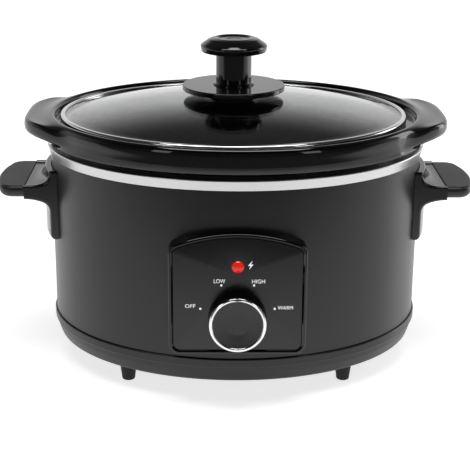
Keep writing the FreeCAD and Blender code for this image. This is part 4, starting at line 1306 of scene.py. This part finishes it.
@dataclass
class Lid:
    """Domed glass in a steel rim, with a mushroom knob on a wide splash disc."""

    gauge: float = 4.0
    hole: float = 4.0
    screw_hole: float = 2.4
    margin: float = 5.5
    rim_width: float = 3.8
    disc_edge: float = 3.8
    stem: float = 13.4
    dome_steps: int = 28

    def build(self) -> None:
        """Make every piece of the lid."""
        self.glass = Extent.of("lid_glass")
        self.hoop = Extent.of("lid_rim")
        self.disc = Extent.of("knob_disc")
        self.knob = Extent.of("lid_knob")
        self.boss = Extent.of("lid_boss")
        self.shift = self.glass.centre.x
        self.axis = Round(self.shift, OVAL_CENTRE_Y)
        self.dome()
        self.steel_rim()
        self.splash_disc()
        self.mushroom()
        self.under_boss()
        self.washers()

    def dome(self) -> None:
        """Pressed glass with a flat margin, as thick as the gauge all over."""
        half_length, half_depth = self.glass.half.x, self.glass.half.y
        edge_z, apex = self.glass.low.z + self.gauge, self.glass.high.z
        radius = half_length - self.margin
        crown = apex - edge_z
        sphere = (radius ** 2 + crown ** 2) / (2 * crown)

        def height(out: float) -> float:
            """The dome's outer face at a distance from its axis."""
            return apex - sphere + math.sqrt(sphere ** 2 - out ** 2)

        outs = [self.hole + (radius - self.hole) * k / self.dome_steps for k in range(self.dome_steps)]
        line = [(out, height(out)) for out in outs]
        line += [(radius + 0.4, edge_z + 0.06), (radius + 1.4, edge_z), (half_length - 0.5, edge_z),
                 (half_length, edge_z - 0.5)]
        under = [(half_length, edge_z - self.gauge + 0.5), (half_length - 0.5, edge_z - self.gauge)]
        under += [(out, up - self.gauge) for out, up in reversed(line[:-2])]
        squeeze = half_depth / half_length
        directions = [Vector((math.cos(turn), squeeze * math.sin(turn), 0.0)) for turn in turns_round(192)]
        rings = [[Vector((self.shift, OVAL_CENTRE_Y, up)) + out * direction for direction in directions]
                 for out, up in line + under]
        dress(skin("tempered_lid_glass", rings, closed=True), Bodies.LID, "lid_glass", "lid_glass")

    def steel_rim(self) -> None:
        """Rolled channel over the edge of the glass."""
        low, high = self.hoop.low.z, self.hoop.high.z
        oval = Oval(self.hoop.half.x, self.hoop.half.y, self.shift)
        edge_z = self.glass.low.z + self.gauge
        width, under_edge = self.rim_width, self.glass.low.z - 0.1
        profile = [(-width, low, 0.3), (0.0, low, 1.4), (0.0, high, 1.8), (-width, high - 0.1, 1.2),
                   (-width, edge_z + 0.1, 0.2), (-1.4, edge_z + 0.1, 0.0), (-1.4, under_edge, 0.0),
                   (-width, under_edge, 0.0)]
        piece = swept("rolled_lid_rim", oval, profile, closed=True, count=256)
        dress(piece, Bodies.LID, "rim_steel", "lid_rim")

    def splash_disc(self) -> None:
        """Wide polished disc under the knob, on a short neck."""
        radius, low, high = self.disc.half.x, self.disc.low.z, self.disc.high.z
        bore, under = self.screw_hole, high - self.disc_edge
        profile = [(bore, low, 0.0), (18.6, low, 0.5), (19.8, under, 1.2), (radius, under, 0.9),
                   (radius, high, 0.9), (bore, high, 0.0)]
        piece = swept("polished_splash_disc", self.axis, profile, closed=True, count=160)
        dress(piece, Bodies.LID, "knob_phenolic", "knob_disc")

    def mushroom(self) -> None:
        """Knob: flanged stem and a cap with a raised crest round a shallow dish."""
        foot, top, cap = self.knob.low.z, self.knob.high.z, self.knob.half.x
        bore, stem = self.screw_hole, self.stem
        under, rim = top - 10.6, top - 5.6
        bore_end = under - 6.0
        profile = [(bore, foot, 0.0), (stem + 2, foot, 0.2), (stem + 2, foot + 0.9, 0.5),
                   (stem, foot + 1.7, 0.6), (stem, under, 1.0), (cap - 0.7, under, 1.4),
                   (cap, rim - 0.2, 1.6), (cap - 2.2, rim + 1.6, 2.6), (18.2, top - 0.9, 4.0),
                   (14.2, top, 2.2), (10.5, top - 1.4, 2.5), (6.0, top - 1.9, 3.0), (0.0, top - 1.3, 0.0),
                   (0.0, bore_end, 0.0), (bore, bore_end, 0.0)]
        piece = swept("polished_lid_knob", self.axis, profile, closed=True, count=160)
        dress(piece, Bodies.LID, "knob_phenolic", "lid_knob")

    def under_boss(self) -> None:
        """Boss under the glass that the screw pulls up."""
        low, high, radius = self.boss.low.z, self.boss.high.z, self.boss.half.x
        bore = self.screw_hole
        profile = [(bore, high, 0.0), (radius - 1, high, 0.3), (radius, high - 1, 0.4),
                   (radius, high - 5.5, 1.2), (radius - 3, low, 0.8), (bore, low, 0.0)]
        piece = swept("moulded_lid_boss", self.axis, profile, closed=True, count=128)
        dress(piece, Bodies.LID, "knob_phenolic", "lid_boss")

    def washers(self) -> None:
        """Silicone washer on each side of the glass."""
        for node in ("knob_washer", "boss_washer"):
            box = Extent.of(node)
            radius, low, high = box.half.x, box.low.z, box.high.z
            profile = [(self.hole, low, 0.0), (radius, low, 0.3), (radius, high, 0.3),
                       (self.hole, high, 0.0)]
            piece = swept(f"silicone_{node}", self.axis, profile, closed=True, count=96)
            dress(piece, Bodies.LID, "silicone", node)


# ---- Pieces kept as the CAD made them ----

def dress_cad_nodes() -> None:
    """Give every CAD node that still shows the finish of its material slot."""
    slots = {part["node"]: part["material_slot"] for part in frame["record"]["subparts"]}
    for name, node in frame["nodes"].items():
        if node.hide_render:
            continue
        node.data.materials.clear()
        node.data.materials.append(SLOT_FINISHES[slots[name]].material())
        LOG.info("%s keeps its CAD shape", name)


# ---- Studio ----

Span = tuple[float, float]


@dataclass
class Studio:
    """Light table, graded room, soft lights and the camera, with distances in metres."""

    target: Vector = field(default_factory=lambda: Vector((0.0, OVAL_CENTRE_Y, 86.0)) * MM)
    distance: float = 0.9724
    elevation_deg: float = 18.56
    azimuth_deg: float = -0.98
    roll_deg: float = 0.433
    lens: float = 94.5
    table_half_width: float = 4.0
    table_fade: Span = (-0.60, -0.24)
    table_light: Span = (0.10, 0.74)
    # The table's colour from front to back: the grey in front is painted shade for light falling off.
    table_white_to_painted_shade: Span = (0.12, 0.74)
    room_fade: Span = (-0.35, 0.55)
    room_light: Span = (0.07, 0.85)
    ceiling_fade: Span = (0.26, 0.60)
    ceiling_share: float = 0.10

    def build(self) -> None:
        """Set the whole studio up."""
        self.floor()
        self.surroundings()
        self.lights()
        self.camera()
        bpy.context.scene.view_settings.view_transform = "Standard"

    def floor(self) -> None:
        """A wide light table in white acrylic."""
        shape = bmesh.new()
        bmesh.ops.create_grid(shape, x_segments=8, y_segments=8, size=self.table_half_width)
        mesh = bpy.data.meshes.new("studio_floor")
        shape.to_mesh(mesh)
        shape.free()
        sheet = make_object("studio_floor", mesh)
        sheet.data.materials.append(self.table_top())

    def table_top(self) -> bpy.types.Material:
        """White acrylic that glows evenly behind and fades to grey towards the front, with a faint sheen.
        The grey of its colour in front is painted shade, for light falling off away from the cooker.

        Returns:
            The table's material.
        """
        material = bpy.data.materials.new("Lit white acrylic")
        material.use_nodes = True
        tree = material.node_tree
        tree.nodes.clear()
        place = add(tree, "ShaderNodeTexCoord").outputs["Object"]
        axes = add(tree, "ShaderNodeSeparateXYZ", {"Vector": place})
        # The second grade is the table's colour, darkened towards the front as painted shade.
        light, white = [
            add(tree, "ShaderNodeMapRange", {
                "Value": axes.outputs["Y"], "From Min": self.table_fade[0], "From Max": self.table_fade[1],
                "To Min": front, "To Max": back}, interpolation_type="SMOOTHSTEP").outputs["Result"]
            for front, back in (self.table_light, self.table_white_to_painted_shade)]
        colour = add(tree, "ShaderNodeCombineColor", {"Red": white, "Green": white, "Blue": white})
        shader = add(tree, "ShaderNodeBsdfPrincipled", {
            "Base Color": colour.outputs["Color"], "Roughness": 0.22, "IOR": 1.25,
            "Emission Color": (1.0, 1.0, 1.0, 1.0), "Emission Strength": light})
        add(tree, "ShaderNodeOutputMaterial", {"Surface": shader.outputs["BSDF"]})
        return material

    def surroundings(self) -> None:
        """A room that is white behind the cooker and dark in front of it and overhead."""
        world = bpy.data.worlds.new("Studio room")
        world.use_nodes = True
        tree = world.node_tree
        tree.nodes.clear()
        direction = add(tree, "ShaderNodeTexCoord").outputs["Generated"]
        axes = add(tree, "ShaderNodeSeparateXYZ", {"Vector": direction})
        grades = (("Y", self.room_fade, self.room_light),
                  ("Z", self.ceiling_fade, (1.0, self.ceiling_share)))
        behind, below_ceiling = [
            add(tree, "ShaderNodeMapRange", {
                "Value": axes.outputs[axis], "From Min": fade[0], "From Max": fade[1],
                "To Min": light[0], "To Max": light[1]}, interpolation_type="SMOOTHSTEP").outputs["Result"]
            for axis, fade, light in grades]
        strength = add(tree, "ShaderNodeMath", {0: behind, 1: below_ceiling}, operation="MULTIPLY")
        glow = add(tree, "ShaderNodeBackground", {
            "Color": (1.0, 1.0, 1.0, 1.0), "Strength": strength.outputs[0]})
        add(tree, "ShaderNodeOutputWorld", {"Surface": glow.outputs["Background"]})
        bpy.context.scene.world = world

    def softbox(self, name: str, place: tuple[float, float, float], size: Span, power: float) -> None:
        """A rectangular soft light aimed at the middle of the cooker.

        Args:
            name: The light's name.
            place: Where it stands, in metres.
            size: Its width and height, in metres.
            power: Its power in watts.
        """
        lamp = bpy.data.lights.new(name, "AREA")
        lamp.shape = "RECTANGLE"
        lamp.size, lamp.size_y = size
        lamp.energy = power
        holder = make_object(name, lamp)
        holder.location = place
        holder.rotation_euler = (self.target - Vector(place)).to_track_quat("-Z", "Y").to_euler()

    def lights(self) -> None:
        """One large box overhead, one at the right behind and two dim ones at the front corners."""
        self.softbox("overhead_box", (0.0, -0.2, 1.5), (1.2, 0.5), 13.0)
        self.softbox("right_box", (1.3, 0.5, 0.45), (0.5, 0.9), 4.0)
        self.softbox("front_left_box", (-0.9, -1.1, 0.55), (0.25, 0.5), 0.8)
        self.softbox("front_right_box", (0.9, -1.1, 0.55), (0.25, 0.5), 0.8)

    def camera(self) -> None:
        """Camera in front, looking slightly down."""
        elevation, azimuth = math.radians(self.elevation_deg), math.radians(self.azimuth_deg)
        level_part = math.cos(elevation)
        back = Vector((math.sin(azimuth) * level_part, -math.cos(azimuth) * level_part, math.sin(elevation)))
        optics = bpy.data.cameras.new("product_camera")
        optics.lens = self.lens
        optics.sensor_width = 36.0
        holder = make_object("product_camera", optics)
        holder.location = self.target + back * self.distance
        facing = (-back).to_track_quat("-Z", "Y").to_matrix().to_4x4()
        holder.rotation_euler = (facing @ Matrix.Rotation(math.radians(self.roll_deg), 4, "Z")).to_euler()
        bpy.context.scene.camera = holder


def main() -> None:
    """Build every sub-assembly, then the studio."""
    logging.basicConfig(level=logging.INFO, format="%(name)s: %(message)s")
    BaseUnit().build()
    for side in Side:
        Handle(side).build()
    Panel().build()
    Dial().build()
    Crock().build()
    Lid().build()
    dress_cad_nodes()
    Studio().build()


if __name__ == "__main__":
    main()
